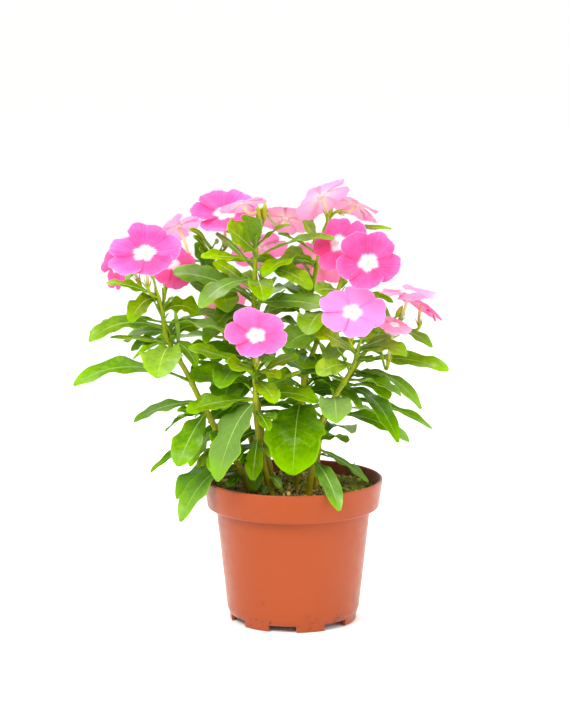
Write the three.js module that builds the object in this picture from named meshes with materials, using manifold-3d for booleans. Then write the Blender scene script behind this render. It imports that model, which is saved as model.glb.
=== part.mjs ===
// A rosy periwinkle in a terracotta-coloured plastic nursery pot. Millimetres, +Z up, front towards -Y.
// Eight leafy stems stand in holes in the soil. Every bloom sits just off the calyx that carries it.

import * as THREE from "three";
import { mergeVertices } from "three/addons/utils/BufferGeometryUtils.js";
import Module from "manifold-3d";

const wasm = await Module();
wasm.setup();

// Pot sizes
const POT_HEIGHT = 96;
const RIM_RADIUS = 60;
const BAND_HEIGHT = 19.5;
const BAND_FOOT_RADIUS = 57.6;
const WALL_TOP_RADIUS = 51.8;
const WALL_FOOT_RADIUS = 44.4;
const WALL = 1.7;
const FOOT_HEIGHT = 4.4;
const FOOT_RADIUS = 43;
const FOOT_WIDTH = 2.4;
const FOOT_TAPER = 0.4;
const CHAMFER_TOP = 8;
const FLOOR = 2;
const BAND_FOOT = POT_HEIGHT - BAND_HEIGHT;
const BAND_CORNER = 1.4;
const BAND_CORNER_HEIGHT = 2;
const RIM_CORNER = 0.6;
const RIM_CORNER_HEIGHT = 1;
const LIP_DROP = 0.3;
const STEP_DROP = 0.5;
const POT_SIDES = 36;
const SLOT_COUNT = 7;
const SLOT_WIDTH = 19;
const SLOT_DEPTH = 12;
const SLOT_HEADROOM = 0.2;
const FIRST_SLOT_ANGLE = -100;
const DRAIN_COUNT = 4;
const DRAIN_RADIUS = 5;
const DRAIN_RING_RADIUS = 25;
const DRAIN_SIDES = 10;

// Soil sizes
const SOIL_TOP = 87.5;
const SOIL_GAP = 0.7;
const SOIL_CLEAR = 0.5;
const SOIL_LIFT = 0.35;
const SOIL_RINGS = [45, 32, 17];
const SOIL_SIDES = 28;
const CLOD_HEIGHT = 1.3;

// Stem sizes
const STEM_FOOT_RADIUS = 2.7;
const STEM_TIP_RADIUS = 1.5;
const STEM_SIDES = 5;
const STEM_STEP = 23;
const HOLE_GAP = 0.4;
const STALK_RADIUS = 0.85;
const CALYX_RADIUS = 1.5;
const STALK_SIDES = 5;
const STALK_STEPS = 3;
const STALK_BEND = 0.45;

// Leaf sizes
const LEAF_THICK = 0.76;
const LEAF_WIDEST = 0.639;
const LEAF_FOOT_POWER = 1.15;
const LEAF_TIP_POWER = 0.65;
const LEAF_CUT = 0.995;
const LEAF_FOLD = 0.2;
const LEAF_WAVE = 0.075;
const WAVE_RATE = 13;
const LEAF_TWIST = 12;
const TWIST_CENTRE = 0.4;
const STALK_HALF_WIDTH = 1.15;
const BEND_AT = 0.6;
const SHORT_LEAF = 32;
const LONG_LEAF = 52;
const CLEARANCE = 0.5;
const FREE_FROM = 0.13;

// Bloom sizes
const PETALS = 5;
const PETAL_THICK = 0.8;
const PETAL_STATIONS = [0, 0.33, 0.7, 1];
const PETAL_FOOT = 0.06;
const PETAL_SPREAD = 0.72;
const PETAL_ROUNDING = 2.2;
const PETAL_ROUND_FROM = 0.6;
const PETAL_TILT = 0.19;
const PETAL_TILT_RATE = 3;
const PETAL_SKEW = 0.1;
const PETAL_NOD = 0.05;
const PETAL_CROWN = 0.09;
const HUB_RADIUS = 2.8;
const EYE_DEPTH = 0.3;
const TUBE_LENGTH = 23;
const TUBE_RADIUS = 1.25;
const TUBE_STRAIGHT = 0.6;
const TUBE_BACK = 0.75;
const TUBE_DROP = 0.35;
const TUBE_BEND = 0.5;
const CALYX_GAP = 0.35;

// How far the plant opens out to the front and the back as it rises, past the places in the tables
const OPENING = 0.5;
const OPENING_HEIGHT = 60;
const OPENING_SLOPE = 0.165;

const GOLDEN_ANGLE = 2.399963;
const UP = new THREE.Vector3(0, 0, 1);

const COLOURS = {
  pot: 0xcd6638,
  soil: 0x3c3228,
  leaf: 0x55a012,
  pink: 0xff6ed2,
  deep: 0xff5aa5,
  pale: 0xfaaabe,
};

// Where each stem runs: points on its middle line from the soil up
const STEMS = {
  centre: [[-10, 0, 76], [-17, -1, 108], [-23, 0, 138], [-26, 1, 172], [-26, 2, 208], [-25, 3, 252]],
  front: [[-11, -15, 76], [-19, -20, 106], [-24, -23, 138], [-25, -25, 163], [-25, -27, 181]],
  left: [[-24, -8, 76], [-36, -10, 105], [-50, -11, 129], [-62, -12, 152], [-70, -13, 169], [-82, -15, 191],
    [-86, -16, 211], [-90, -17, 226]],
  leftback: [[-19, 12, 76], [-27, 19, 112], [-37, 23, 150], [-46, 23, 188], [-52, 24, 222], [-55, 23, 248]],
  back: [[1, 16, 76], [5, 18, 115], [7, 18, 155], [7, 18, 187], [10, 17, 207], [16, 14, 238], [21, 10, 264]],
  tall: [[2, 0, 76], [3, -4, 110], [4, -6, 140], [9, -4, 168], [18, 0, 194], [28, 0, 218], [34, -1, 236]],
  right: [[9, -16, 76], [12, -17, 105], [16, -15, 131], [26, -18, 152], [39, -21, 175], [43, -23, 191]],
  far: [[14, 4, 76], [16, 5, 106], [20, 5, 132], [34, 6, 157], [51, 7, 184], [65, 8, 201]],
};

// One row for each bloom: name, middle, the heading and rise it faces, first petal's angle, radius, cup,
// colour, stem, height on the stem, and its calyx where the photo shows it
const BLOOMS = [
  ["bloom_left_front", [-95.5, -32, 250], -98, 54, 82, 22.5, 2, "pink", "left", 221],
  ["bloom_left_inner", [-80, 1, 240], -70, 30, 64, 15.5, -3, "deep", "left", 215],
  ["bloom_left_outer", [-117, 0, 238.5], -145, 10, 20, 15, 0, "deep", "left", 224],
  ["bloom_upper_left", [-46, 17, 272], -92, 63, 110, 22.5, 3, "pink", "leftback", 245],
  ["bloom_pale_left", [-78.5, 37, 262], 130, 48, 30, 16, -2, "pale", "leftback", 236],
  ["bloom_top_left", [-33, -12, 281], 125, 66, 20, 14.5, -2, "pale", "centre", 249, [-23, 0, 275]],
  ["bloom_top_centre", [-5, 24, 268.5], 75, 50, 60, 16.5, -2, "pale", "centre", 250, [-19, 4, 275]],
  ["bloom_top", [18, -6, 285], 130, 46, 80, 18.5, -3, "pale", "back", 262, [22, -4, 273]],
  ["bloom_top_right", [42, 14, 278], 40, 56, 20, 17.5, -3, "pale", "back", 259, [31, 6, 274]],
  ["bloom_right_front", [47.5, -38, 244.5], -104, 38, 50, 20, 3, "deep", "tall", 230, [44, -14, 232]],
  ["bloom_right_inner", [29, -15, 255], -128, 25, 100, 18, -2, "deep", "tall", 227],
  ["bloom_right_middle", [37.5, -37, 212.5], -88, 44, 61, 19.5, 1, "pink", "right", 187],
  ["bloom_centre_front", [-24, -44, 198.5], -92, 47, 105, 18.5, 3, "pink", "front", 179],
  ["bloom_far_top", [75, -10, 222.5], -60, 84, 30, 17, -1, "pale", "far", 197, [71, -5, 204]],
  ["bloom_far_right", [87, 8, 212.5], 20, 55, 70, 15, -4, "deep", "far", 199, [84, 4, 199]],
  ["bloom_far_low", [65.5, -24, 202.5], -60, 66, 10, 10.5, -1, "pale", "far", 191],
  ["bloom_back_left", [-24, 45, 246], 100, 40, 30, 18, -2, "pink", "centre", 236],
  ["bloom_back_right", [17, 38, 237], 65, 35, 75, 19, -2, "deep", "back", 228],
  ["bloom_back_low", [-48, 42, 212], 125, 30, 50, 18, -2, "deep", "leftback", 196],
];

// One row for each leaf that the photo shows: stem, height of its root, tip, width, arch and tilt.
// The arch is the lift at its middle. The tilt turns its upper face to the front.
const SHOWN_LEAVES = [
  ["left", 164, -142, -30, 163.5, 18, 11, 22],
  ["left", 104, -74, -38, 74, 18, 13, 15],
  ["centre", 241, -60.5, -8, 245, 12, 1.5, 22],
  ["centre", 247, -43, -16, 264.5, 21, 1, 72],
  ["centre", 249, -48, 12, 262, 8, 2, 0],
  ["centre", 250, -2, 5, 265, 8, 3, 5],
  ["centre", 243, 26, -19, 257.8, 13, 5, 10],
  ["centre", 228, -60.5, -28, 214, 14, 6.5, 20],
  ["centre", 217, -80, 2, 234.5, 18, 3.5, 40],
  ["centre", 235, 12, -8, 223.5, 16, 6, 25],
  ["centre", 213, 20, -12, 212.5, 18, 2.5, 32],
  ["centre", 210, -58, -12, 188, 19, 9, 15],
  ["front", 175, -68, -30, 188, 13, 2, 25],
  ["front", 169, -48, -42, 177, 17, 4, 25],
  ["centre", 174, -70, -6, 180, 21, 4, 30],
  ["centre", 158, -68, -16, 166, 19, 3, 30],
  ["left", 150, -105.5, -10, 135.5, 12, 4, 28],
  ["left", 143, -85.5, 6, 126, 10, 4, 22],
  ["front", 155, -69, -34, 147, 17, 2.5, 20],
  ["front", 153, -49, -52, 104.5, 24, 11, 10],
  ["front", 168, -12, -46, 155, 14, 3, 10],
  ["front", 174, -9, -40, 170, 10, 2, 10],
  ["front", 170, 3, -30, 181, 11, 3, 25],
  ["front", 158, 16, -33, 153, 15, 4, 30],
  ["front", 147, -16, -36, 135, 9, 2, 0],
  ["front", 130, -26.5, -36, 101.5, 12, 3, 0],
  ["tall", 147, -0.5, -44, 107, 38, 11, 0],
  ["tall", 157, -14, -18, 161, 21, 5, 30],
  ["tall", 152, 36, -2, 150, 17, 5, 25],
  ["left", 221.5, -122, -14, 228.5, 12, 2, 15],
  ["left", 219, -105.5, -24, 208.8, 15, 6.5, 25],
  ["left", 211, -63, -16, 208, 20, 5, 25],
  ["left", 200, -132.5, -24, 191.5, 16, 8, 30],
  ["left", 197, -112, 9, 188, 18, 3, 35],
  ["left", 190, -106, -16, 184, 13, 4, 20],
  ["left", 193, -62, -6, 199, 14, 3, 25],
  ["left", 187, -87, -42, 170.5, 26, 7, 0],
  ["left", 164, -46, 2, 162, 9, 2, 15],
  ["left", 143, -75, -40, 112, 19, 4, 18],
  ["left", 126, -95, -8, 101, 13, 4, 15],
  ["left", 119, -61, -17, 97, 19, 5, 20],
  ["right", 177, 15.5, -38, 172, 15, 3, 30],
  ["right", 184, 11, -28, 198.5, 18, 3, 35],
  ["tall", 192, -5, -20, 187, 21, 4, 35],
  ["right", 186, 73, -30, 183, 15, 5, 25],
  ["right", 154, 19.5, -52, 143.5, 21, 6, 0],
  ["far", 174, 101, -20, 171.5, 15, 4, 25],
  ["far", 165, 83, -24, 147, 11, 10, 8],
  ["far", 166, 60, 6, 153, 15, 4, 20],
  ["far", 148, 92, -6, 130, 11, 5.5, 15],
  ["far", 154, 77, -8, 123.7, 15, 13, 8],
  ["far", 138, 78, 10, 118, 14, 6, 28],
  ["far", 195, 95, -8, 186, 10, 4, 15],
  ["far", 193, 60, -22, 187, 14, 3, 0],
  ["tall", 219, 66, -1, 214, 13, 3, 15],
  ["back", 250.5, 6, -3, 268, 18, 1, 70],
  ["back", 243, -10, 8, 259, 10, 2, 10],
  ["back", 235, -6, 14, 245, 15, 1.5, 40],
  ["back", 254, 66, 8, 263, 8, 3, 10],
  ["right", 111, 29.5, -64, 87.5, 12, 7, 15],
  ["far", 114, 50.5, 3, 91.5, 9, 2, 20],
  ["left", 99, -50, -19, 97, 8, 2, 0],
  ["back", 150, 22, -12, 157, 18, 5, 25],
  ["back", 172, -3, -12, 180, 18, 5, 20],
  ["centre", 190, -52, 6, 197, 18, 4, 30],
  ["tall", 176, -12, -22, 175, 17, 4, 30],
];

// Pairs of leaves that the photo hides: stem, lowest and highest pair, pairs, first heading, length, width
const HIDDEN_PAIRS = [
  ["centre", 116, 226, 5, 70, 50, 20],
  ["leftback", 108, 236, 6, 70, 58, 22],
  ["back", 112, 238, 6, 100, 58, 22],
  ["tall", 122, 206, 3, 60, 46, 19],
  ["left", 128, 204, 2, 75, 48, 18],
  ["right", 122, 166, 2, 70, 38, 18],
  ["far", 122, 186, 3, 60, 50, 18],
];
const HIDDEN_TURN = 97;
const HIDDEN_VARIETY = 0.14;
const HIDDEN_SLOPE = 0.12;
const HIDDEN_DROOP = 0.1;
const HIDDEN_ARCH = 0.13;

// The small turns, lifts and shortenings that a leaf tries, gentlest first, until it is clear of the rest
const TURNS = [0, 9, -9, 18, -18, 30, -30];
const LIFTS = [0, 0.1, -0.1, 0.22, -0.22];
const SHRINKS = [1, 0.88, 0.76, 0.64];
const TURN_COST = 0.1;
const LIFT_COST = 10;
const SHRINK_COST = 12;

function listTries() {
  const tries = [];
  for (const shrink of SHRINKS) {
    for (const lift of LIFTS) {
      for (const turn of TURNS) {
        const cost = TURN_COST * Math.abs(turn) + LIFT_COST * Math.abs(lift) + SHRINK_COST * (1 - shrink);
        tries.push({ turn, lift, shrink, cost });
      }
    }
  }
  return tries.sort((a, b) => a.cost - b.cost);
}

function radians(degrees) {
  return THREE.MathUtils.degToRad(degrees);
}

// What opens out to the back hangs a little lower, and to the front a little higher
function openedOut([x, y, z]) {
  const shift = OPENING * y * THREE.MathUtils.clamp((z - SOIL_TOP) / OPENING_HEIGHT, 0, 1);
  return new THREE.Vector3(x, y + shift, z - OPENING_SLOPE * shift);
}

// Turning shapes into solids and back

function solidOf(geometry) {
  const plain = geometry.clone();
  plain.deleteAttribute("normal");
  plain.deleteAttribute("uv");
  const merged = mergeVertices(plain, 1e-4);
  const vertProperties = Float32Array.from(merged.attributes.position.array);
  const triVerts = Uint32Array.from(merged.index.array);
  return new wasm.Manifold(new wasm.Mesh({ numProp: 3, vertProperties, triVerts }));
}

function fuse(solids) {
  let whole = solids[0];
  for (const solid of solids.slice(1)) {
    whole = whole.add(solid);
  }
  return whole;
}

function meshOf(name, solid, colour, roughness) {
  const { vertProperties, triVerts } = solid.getMesh();
  const geometry = new THREE.BufferGeometry();
  geometry.setAttribute("position", new THREE.BufferAttribute(vertProperties, 3));
  geometry.setIndex(new THREE.BufferAttribute(triVerts, 1));
  geometry.computeVertexNormals();
  const material = new THREE.MeshStandardMaterial({ color: colour, roughness, metalness: 0 });
  const mesh = new THREE.Mesh(geometry, material);
  mesh.name = name;
  return mesh;
}

// A thin blade through a row of stations, each with the same points across it, from -1 to 1.
// place(s, across) gives a point for s from 0 at the root to 1 at the tip. Both faces share their diagonals.

function bladeSolid(place, normalAt, stations, columns, thick) {
  const positions = [];
  for (const side of [0.5, -0.5]) {
    for (const s of stations) {
      const offset = normalAt(s).multiplyScalar(side * thick);
      for (const across of columns) {
        positions.push(...place(s, across).add(offset).toArray());
      }
    }
  }
  const width = columns.length;
  const strips = width - 1;
  const low = width * stations.length;
  const last = low - width;
  const index = [];
  const quad = (a, b, c, d) => index.push(a, b, c, a, c, d);
  for (let near = 0; near < last; near += width) {
    const next = near + width;
    for (let k = 0; k < strips; k += 1) {
      quad(near + k, near + k + 1, next + k + 1, next + k);
      index.push(low + near + k, low + next + k + 1, low + near + k + 1);
      index.push(low + near + k, low + next + k, low + next + k + 1);
    }
    quad(near, next, low + next, low + near);
    quad(near + strips, low + near + strips, low + next + strips, next + strips);
  }
  for (let k = 0; k < strips; k += 1) {
    quad(k, low + k, low + k + 1, k + 1);
    quad(last + k, last + k + 1, low + last + k + 1, low + last + k);
  }
  const geometry = new THREE.BufferGeometry();
  geometry.setAttribute("position", new THREE.Float32BufferAttribute(positions, 3));
  geometry.setIndex(index);
  const solid = solidOf(geometry);
  return solid.volume() < 0 ? solidOf(flipped(geometry)) : solid;
}

function flipped(geometry) {
  const turned = geometry.clone();
  const index = Array.from(turned.index.array);
  for (let i = 0; i < index.length; i += 3) {
    [index[i + 1], index[i + 2]] = [index[i + 2], index[i + 1]];
  }
  turned.setIndex(index);
  return turned;
}

// A round rod bent along a curve, with a radius that changes from its foot to its end

function rodSolid(curve, radiusAt, sides, steps) {
  const rod = new THREE.CylinderGeometry(1, 1, 1, sides, steps);
  const chord = curve.getPoint(1).clone().sub(curve.getPoint(0)).normalize();
  const guide = Math.abs(chord.x) < 0.8 ? new THREE.Vector3(1, 0, 0) : new THREE.Vector3(0, 1, 0);
  const position = rod.attributes.position;
  for (let i = 0; i < position.count; i += 1) {
    const t = position.getY(i) + 0.5;
    const ahead = curve.getTangent(t);
    const side = guide.clone().addScaledVector(ahead, -guide.dot(ahead)).normalize();
    const other = new THREE.Vector3().crossVectors(side, ahead);
    const reach = radiusAt(t);
    const point = curve.getPoint(t);
    point.addScaledVector(side, position.getX(i) * reach);
    point.addScaledVector(other, position.getZ(i) * reach);
    position.setXYZ(i, point.x, point.y, point.z);
  }
  return solidOf(rod);
}

// Stems

class StemLine extends THREE.Curve {
  constructor(points) {
    super();
    this.points = points;
    this.foot = points[0][2];
    this.top = points[points.length - 1][2];
  }

  slope(i, axis) {
    const before = this.points[Math.max(i - 1, 0)];
    const after = this.points[Math.min(i + 1, this.points.length - 1)];
    return (after[axis] - before[axis]) / (after[2] - before[2]);
  }

  atHeight(z) {
    let i = 0;
    while (i < this.points.length - 2 && this.points[i + 1][2] < z) {
      i += 1;
    }
    const [a, b] = [this.points[i], this.points[i + 1]];
    const rise = b[2] - a[2];
    const t = (z - a[2]) / rise;
    const value = (axis) => (
      a[axis] * (2 * t ** 3 - 3 * t ** 2 + 1)
      + this.slope(i, axis) * rise * (t ** 3 - 2 * t ** 2 + t)
      + b[axis] * (3 * t ** 2 - 2 * t ** 3)
      + this.slope(i + 1, axis) * rise * (t ** 3 - t ** 2)
    );
    return new THREE.Vector3(value(0), value(1), z);
  }

  getPoint(t) {
    return this.atHeight(this.foot + t * (this.top - this.foot));
  }
}

const stemLines = {};
for (const [name, points] of Object.entries(STEMS)) {
  stemLines[name] = new StemLine(points.map((point) => openedOut(point).toArray()));
}

function stemRadius(t) {
  return STEM_FOOT_RADIUS + (STEM_TIP_RADIUS - STEM_FOOT_RADIUS) * t;
}

function stemSolid(name, extra = 0) {
  const line = stemLines[name];
  const steps = Math.round((line.top - line.foot) / STEM_STEP);
  return rodSolid(line, (t) => stemRadius(t) + extra, STEM_SIDES, steps);
}

// Blooms and the stalks that carry them

function bloomFrame(row) {
  const [name, middle, heading, rise, twist, radius, cup, colour, stem, height, calyx] = row;
  const [turn, lift] = [radians(heading), radians(rise)];
  const centre = openedOut(middle);
  const right = new THREE.Vector3(-Math.sin(turn), Math.cos(turn), 0);
  const ahead = new THREE.Vector3(
    Math.cos(turn) * Math.cos(lift), Math.sin(turn) * Math.cos(lift), Math.sin(lift),
  );
  const above = new THREE.Vector3().crossVectors(ahead, right);
  const behind = centre.clone().addScaledVector(ahead, -TUBE_STRAIGHT * TUBE_LENGTH);
  const foot = centre.clone().addScaledVector(ahead, -TUBE_BACK * TUBE_LENGTH);
  foot.addScaledVector(UP, -TUBE_DROP * TUBE_LENGTH);
  if (calyx) {
    foot.copy(openedOut(calyx));
    behind.copy(centre).addScaledVector(ahead, -TUBE_BEND * centre.distanceTo(foot));
  }
  return { name, centre, right, ahead, above, behind, foot, twist, radius, cup, colour, stem, height };
}

function petalHalfWidth(s, radius) {
  const rounding = PETAL_ROUNDING * Math.max(0, s - PETAL_ROUND_FROM) ** 2;
  return radius * (PETAL_FOOT + PETAL_SPREAD * s - rounding);
}

// Petals start on the five sides of a small hub and lie over one side neighbour and under the other
function petalPlace(bloom, k) {
  const share = 360 / PETALS;
  const angle = radians(bloom.twist + share * k);
  const nod = Math.sin(GOLDEN_ANGLE * (k + bloom.twist)) * PETAL_NOD * bloom.radius;
  const start = HUB_RADIUS * Math.cos(radians(share / 2));
  return (s, across) => {
    const half = s === 0 ? HUB_RADIUS * Math.sin(radians(share / 2)) : petalHalfWidth(s, bloom.radius);
    const out = start + (bloom.radius * (1 + PETAL_CROWN * (1 - across ** 2)) - start) * s;
    const along = across * half + PETAL_SKEW * bloom.radius * s ** 3;
    const tilt = PETAL_TILT * Math.min(1, PETAL_TILT_RATE * s);
    const rise = (bloom.cup + nod) * s ** 2 + tilt * across * half;
    return bloom.centre.clone()
      .addScaledVector(bloom.right, Math.cos(angle) * out - Math.sin(angle) * along)
      .addScaledVector(bloom.above, Math.sin(angle) * out + Math.cos(angle) * along)
      .addScaledVector(bloom.ahead, rise);
  };
}

// One closed skin: five petals round the hub's cap, and the slender tube that starts from the hub's underside
function bloomSolid(bloom) {
  const positions = [];
  const index = [];
  const point = (vector) => {
    positions.push(...vector.toArray());
    return positions.length / 3 - 1;
  };
  const quad = (a, b, c, d) => index.push(a, b, c, a, c, d);
  const top = bloom.ahead.clone().multiplyScalar(PETAL_THICK / 2);
  const corners = [];
  for (let k = 0; k < PETALS; k += 1) {
    const place = petalPlace(bloom, k);
    const rows = PETAL_STATIONS.map((s) => [
      point(place(s, -1).add(top)), point(place(s, 1).add(top)),
      point(place(s, 1).sub(top)), point(place(s, -1).sub(top)),
    ]);
    for (let i = 0; i + 1 < rows.length; i += 1) {
      const [near, next] = [rows[i], rows[i + 1]];
      quad(near[0], next[0], next[1], near[1]);
      quad(near[1], next[1], next[2], near[2]);
      index.push(near[3], near[2], next[2], near[3], next[2], next[3]);
      quad(near[3], next[3], next[0], near[0]);
    }
    const end = rows[rows.length - 1];
    const crown = [point(place(1, 0).add(top)), point(place(1, 0).sub(top))];
    index.push(end[0], crown[0], end[1], end[3], end[2], crown[1]);
    quad(end[0], end[3], crown[1], crown[0]);
    quad(crown[0], crown[1], end[2], end[1]);
    corners.push(rows[0]);
  }
  const eye = point(bloom.centre.clone().addScaledVector(bloom.ahead, PETAL_THICK / 2 - EYE_DEPTH));
  corners.forEach((corner) => index.push(corner[0], corner[1], eye));
  addTube(bloom, corners.map((corner) => corner[3]), point, index);
  const geometry = new THREE.BufferGeometry();
  geometry.setAttribute("position", new THREE.Float32BufferAttribute(positions, 3));
  geometry.setIndex(index);
  return solidOf(geometry);
}

function addTube(bloom, ring, point, index) {
  const end = bloom.foot.clone();
  end.addScaledVector(bloom.behind.clone().sub(end).normalize(), CALYX_GAP);
  const curve = new THREE.QuadraticBezierCurve3(bloom.centre, bloom.behind, end);
  const share = (2 * Math.PI) / PETALS;
  let before = ring;
  for (let i = 1; i <= STALK_STEPS; i += 1) {
    const ahead = curve.getTangent(i / STALK_STEPS).negate();
    const side = bloom.right.clone().addScaledVector(ahead, -bloom.right.dot(ahead)).normalize();
    const above = new THREE.Vector3().crossVectors(ahead, side);
    const middle = curve.getPoint(i / STALK_STEPS);
    const next = ring.map((_, k) => {
      const angle = radians(bloom.twist) + share * (k - 0.5);
      return point(middle.clone()
        .addScaledVector(side, TUBE_RADIUS * Math.cos(angle))
        .addScaledVector(above, TUBE_RADIUS * Math.sin(angle)));
    });
    for (let k = 0; k < PETALS; k += 1) {
      const beside = (k + 1) % PETALS;
      index.push(before[beside], before[k], next[k], before[beside], next[k], next[beside]);
    }
    before = next;
  }
  for (let k = 1; k + 1 < PETALS; k += 1) {
    index.push(before[0], before[k + 1], before[k]);
  }
}

function stalkSolid(bloom) {
  const root = stemLines[bloom.stem].atHeight(bloom.height);
  const into = bloom.foot.clone().sub(bloom.behind).normalize();
  const middle = bloom.foot.clone().addScaledVector(into, STALK_BEND * root.distanceTo(bloom.foot));
  const curve = new THREE.QuadraticBezierCurve3(root, middle, bloom.foot);
  const radiusAt = (t) => STALK_RADIUS + (CALYX_RADIUS - STALK_RADIUS) * t ** 2;
  return rodSolid(curve, radiusAt, STALK_SIDES, STALK_STEPS);
}

// Leaves

function leafShape(s) {
  const outline = (t) => t ** LEAF_FOOT_POWER * (1 - t) ** LEAF_TIP_POWER;
  return outline(LEAF_CUT * s) / outline(LEAF_WIDEST);
}

function leafHalfWidth(leaf, s) {
  return Math.max(0.5 * leaf.width * leafShape(s), STALK_HALF_WIDTH);
}

function leafFrame(leaf, s) {
  const { root, tip, arch } = leaf;
  const middle = root.clone().lerp(tip, BEND_AT).addScaledVector(UP, 2 * arch);
  const point = root.clone().multiplyScalar((1 - s) ** 2);
  point.addScaledVector(middle, 2 * s * (1 - s)).addScaledVector(tip, s ** 2);
  const ahead = middle.clone().sub(root).multiplyScalar(1 - s).addScaledVector(tip.clone().sub(middle), s);
  ahead.normalize();
  const heading = tip.clone().sub(root).setZ(0).normalize();
  const side = new THREE.Vector3().crossVectors(heading, UP);
  const twist = LEAF_TWIST * Math.sin(leaf.phase) * (s - TWIST_CENTRE);
  side.applyAxisAngle(ahead, radians(leaf.tilt * (heading.x >= 0 ? 1 : -1) + twist));
  const normal = new THREE.Vector3().crossVectors(side, ahead).normalize();
  return { point, side, normal };
}

function leafPlace(leaf, spread = 0) {
  return (s, across) => {
    const { point, side, normal } = leafFrame(leaf, s);
    const half = leafHalfWidth(leaf, s) + spread;
    const wave = Math.sin(Math.PI * s) * Math.sin(WAVE_RATE * s + leaf.phase + across);
    const lift = Math.abs(across) * (LEAF_FOLD * half + LEAF_WAVE * leaf.width * wave);
    return point.addScaledVector(side, across * half).addScaledVector(normal, lift);
  };
}

function leafSolid(leaf, from = 0, spread = 0) {
  const span = leaf.root.distanceTo(leaf.tip);
  const steps = 3 + Number(span > SHORT_LEAF) + Number(span > LONG_LEAF);
  const stations = Array.from({ length: steps + 1 }, (_, i) => from + ((1 - from) * i) / steps);
  const normalAt = (s) => leafFrame(leaf, s).normal;
  return bladeSolid(leafPlace(leaf, spread), normalAt, stations, [-1, 0, 1], LEAF_THICK + 2 * spread);
}

function bentLeaf(leaf, move) {
  const reach = leaf.tip.clone().sub(leaf.root).applyAxisAngle(UP, radians(move.turn));
  reach.z += move.lift * reach.length();
  const tip = leaf.root.clone().addScaledVector(reach, move.shrink);
  return { ...leaf, tip, width: (leaf.width * (1 + move.shrink)) / 2 };
}

function shownLeaves() {
  return SHOWN_LEAVES.map(([stem, height, x, y, z, width, arch, tilt]) => (
    { stem, root: stemLines[stem].atHeight(height), tip: openedOut([x, y, z]), width, arch, tilt }
  ));
}

function hiddenLeaves() {
  const leaves = [];
  for (const [stem, low, high, pairs, heading, length, width] of HIDDEN_PAIRS) {
    for (let i = 0; i < pairs; i += 1) {
      const root = stemLines[stem].atHeight(low + ((high - low) * i) / (pairs - 1));
      const size = 1 + HIDDEN_VARIETY * Math.sin(GOLDEN_ANGLE * (i + low));
      const drop = HIDDEN_SLOPE + HIDDEN_DROOP * size * (i % 2);
      for (const half of [0, 180]) {
        const turn = radians(heading + HIDDEN_TURN * i + half);
        const reach = new THREE.Vector3(Math.cos(turn), Math.sin(turn), -drop);
        const tip = root.clone().addScaledVector(reach, length * size);
        leaves.push({ stem, root, tip, width: width * size, arch: HIDDEN_ARCH * length, tilt: 0 });
      }
    }
  }
  return leaves;
}

// The pot

function potSolid() {
  const floorTop = FOOT_HEIGHT + FLOOR;
  const profile = [
    [0, FOOT_HEIGHT],
    [FOOT_RADIUS - FOOT_WIDTH, FOOT_HEIGHT],
    [FOOT_RADIUS - FOOT_WIDTH, 0],
    [FOOT_RADIUS - FOOT_TAPER, 0],
    [FOOT_RADIUS, FOOT_HEIGHT],
    [WALL_FOOT_RADIUS, CHAMFER_TOP],
    [WALL_TOP_RADIUS, BAND_FOOT],
    [BAND_FOOT_RADIUS - BAND_CORNER, BAND_FOOT + LIP_DROP],
    [BAND_FOOT_RADIUS, BAND_FOOT + BAND_CORNER_HEIGHT],
    [RIM_RADIUS, POT_HEIGHT - RIM_CORNER_HEIGHT],
    [RIM_RADIUS - RIM_CORNER, POT_HEIGHT],
    [RIM_RADIUS - WALL, POT_HEIGHT - LIP_DROP],
    [BAND_FOOT_RADIUS - WALL, BAND_FOOT + BAND_CORNER_HEIGHT + STEP_DROP],
    [WALL_TOP_RADIUS - WALL, BAND_FOOT - STEP_DROP],
    [WALL_FOOT_RADIUS - WALL - FOOT_TAPER, floorTop],
    [0, floorTop],
  ].map(([r, z]) => new THREE.Vector2(r, z));
  const body = new THREE.LatheGeometry(profile, POT_SIDES);
  body.rotateX(Math.PI / 2);
  let solid = solidOf(body);
  for (let i = 0; i < SLOT_COUNT; i += 1) {
    const slot = new THREE.BoxGeometry(SLOT_DEPTH, SLOT_WIDTH, 2 * (FOOT_HEIGHT - SLOT_HEADROOM));
    slot.translate(FOOT_RADIUS, 0, 0);
    slot.rotateZ(radians(FIRST_SLOT_ANGLE + (360 / SLOT_COUNT) * i));
    solid = solid.subtract(solidOf(slot));
  }
  for (let i = 0; i < DRAIN_COUNT; i += 1) {
    const drain = new THREE.CylinderGeometry(DRAIN_RADIUS, DRAIN_RADIUS, 4 * FLOOR, DRAIN_SIDES);
    drain.rotateX(Math.PI / 2);
    drain.translate(DRAIN_RING_RADIUS, 0, FOOT_HEIGHT + FLOOR / 2);
    drain.rotateZ(radians((360 / DRAIN_COUNT) * (i + 0.5)));
    solid = solid.subtract(solidOf(drain));
  }
  return solid;
}

// The soil fills the pot to a little under its rim, with a clodded top and a hole for each stem

function clodHeight(x, y) {
  const coarse = Math.sin(0.31 * x + 1.3) * Math.cos(0.27 * y - 0.6);
  const fine = Math.sin(0.83 * x - 0.4 * y) * Math.cos(0.71 * y + 0.35 * x);
  return CLOD_HEIGHT * (0.6 * coarse + 0.5 * fine);
}

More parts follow.
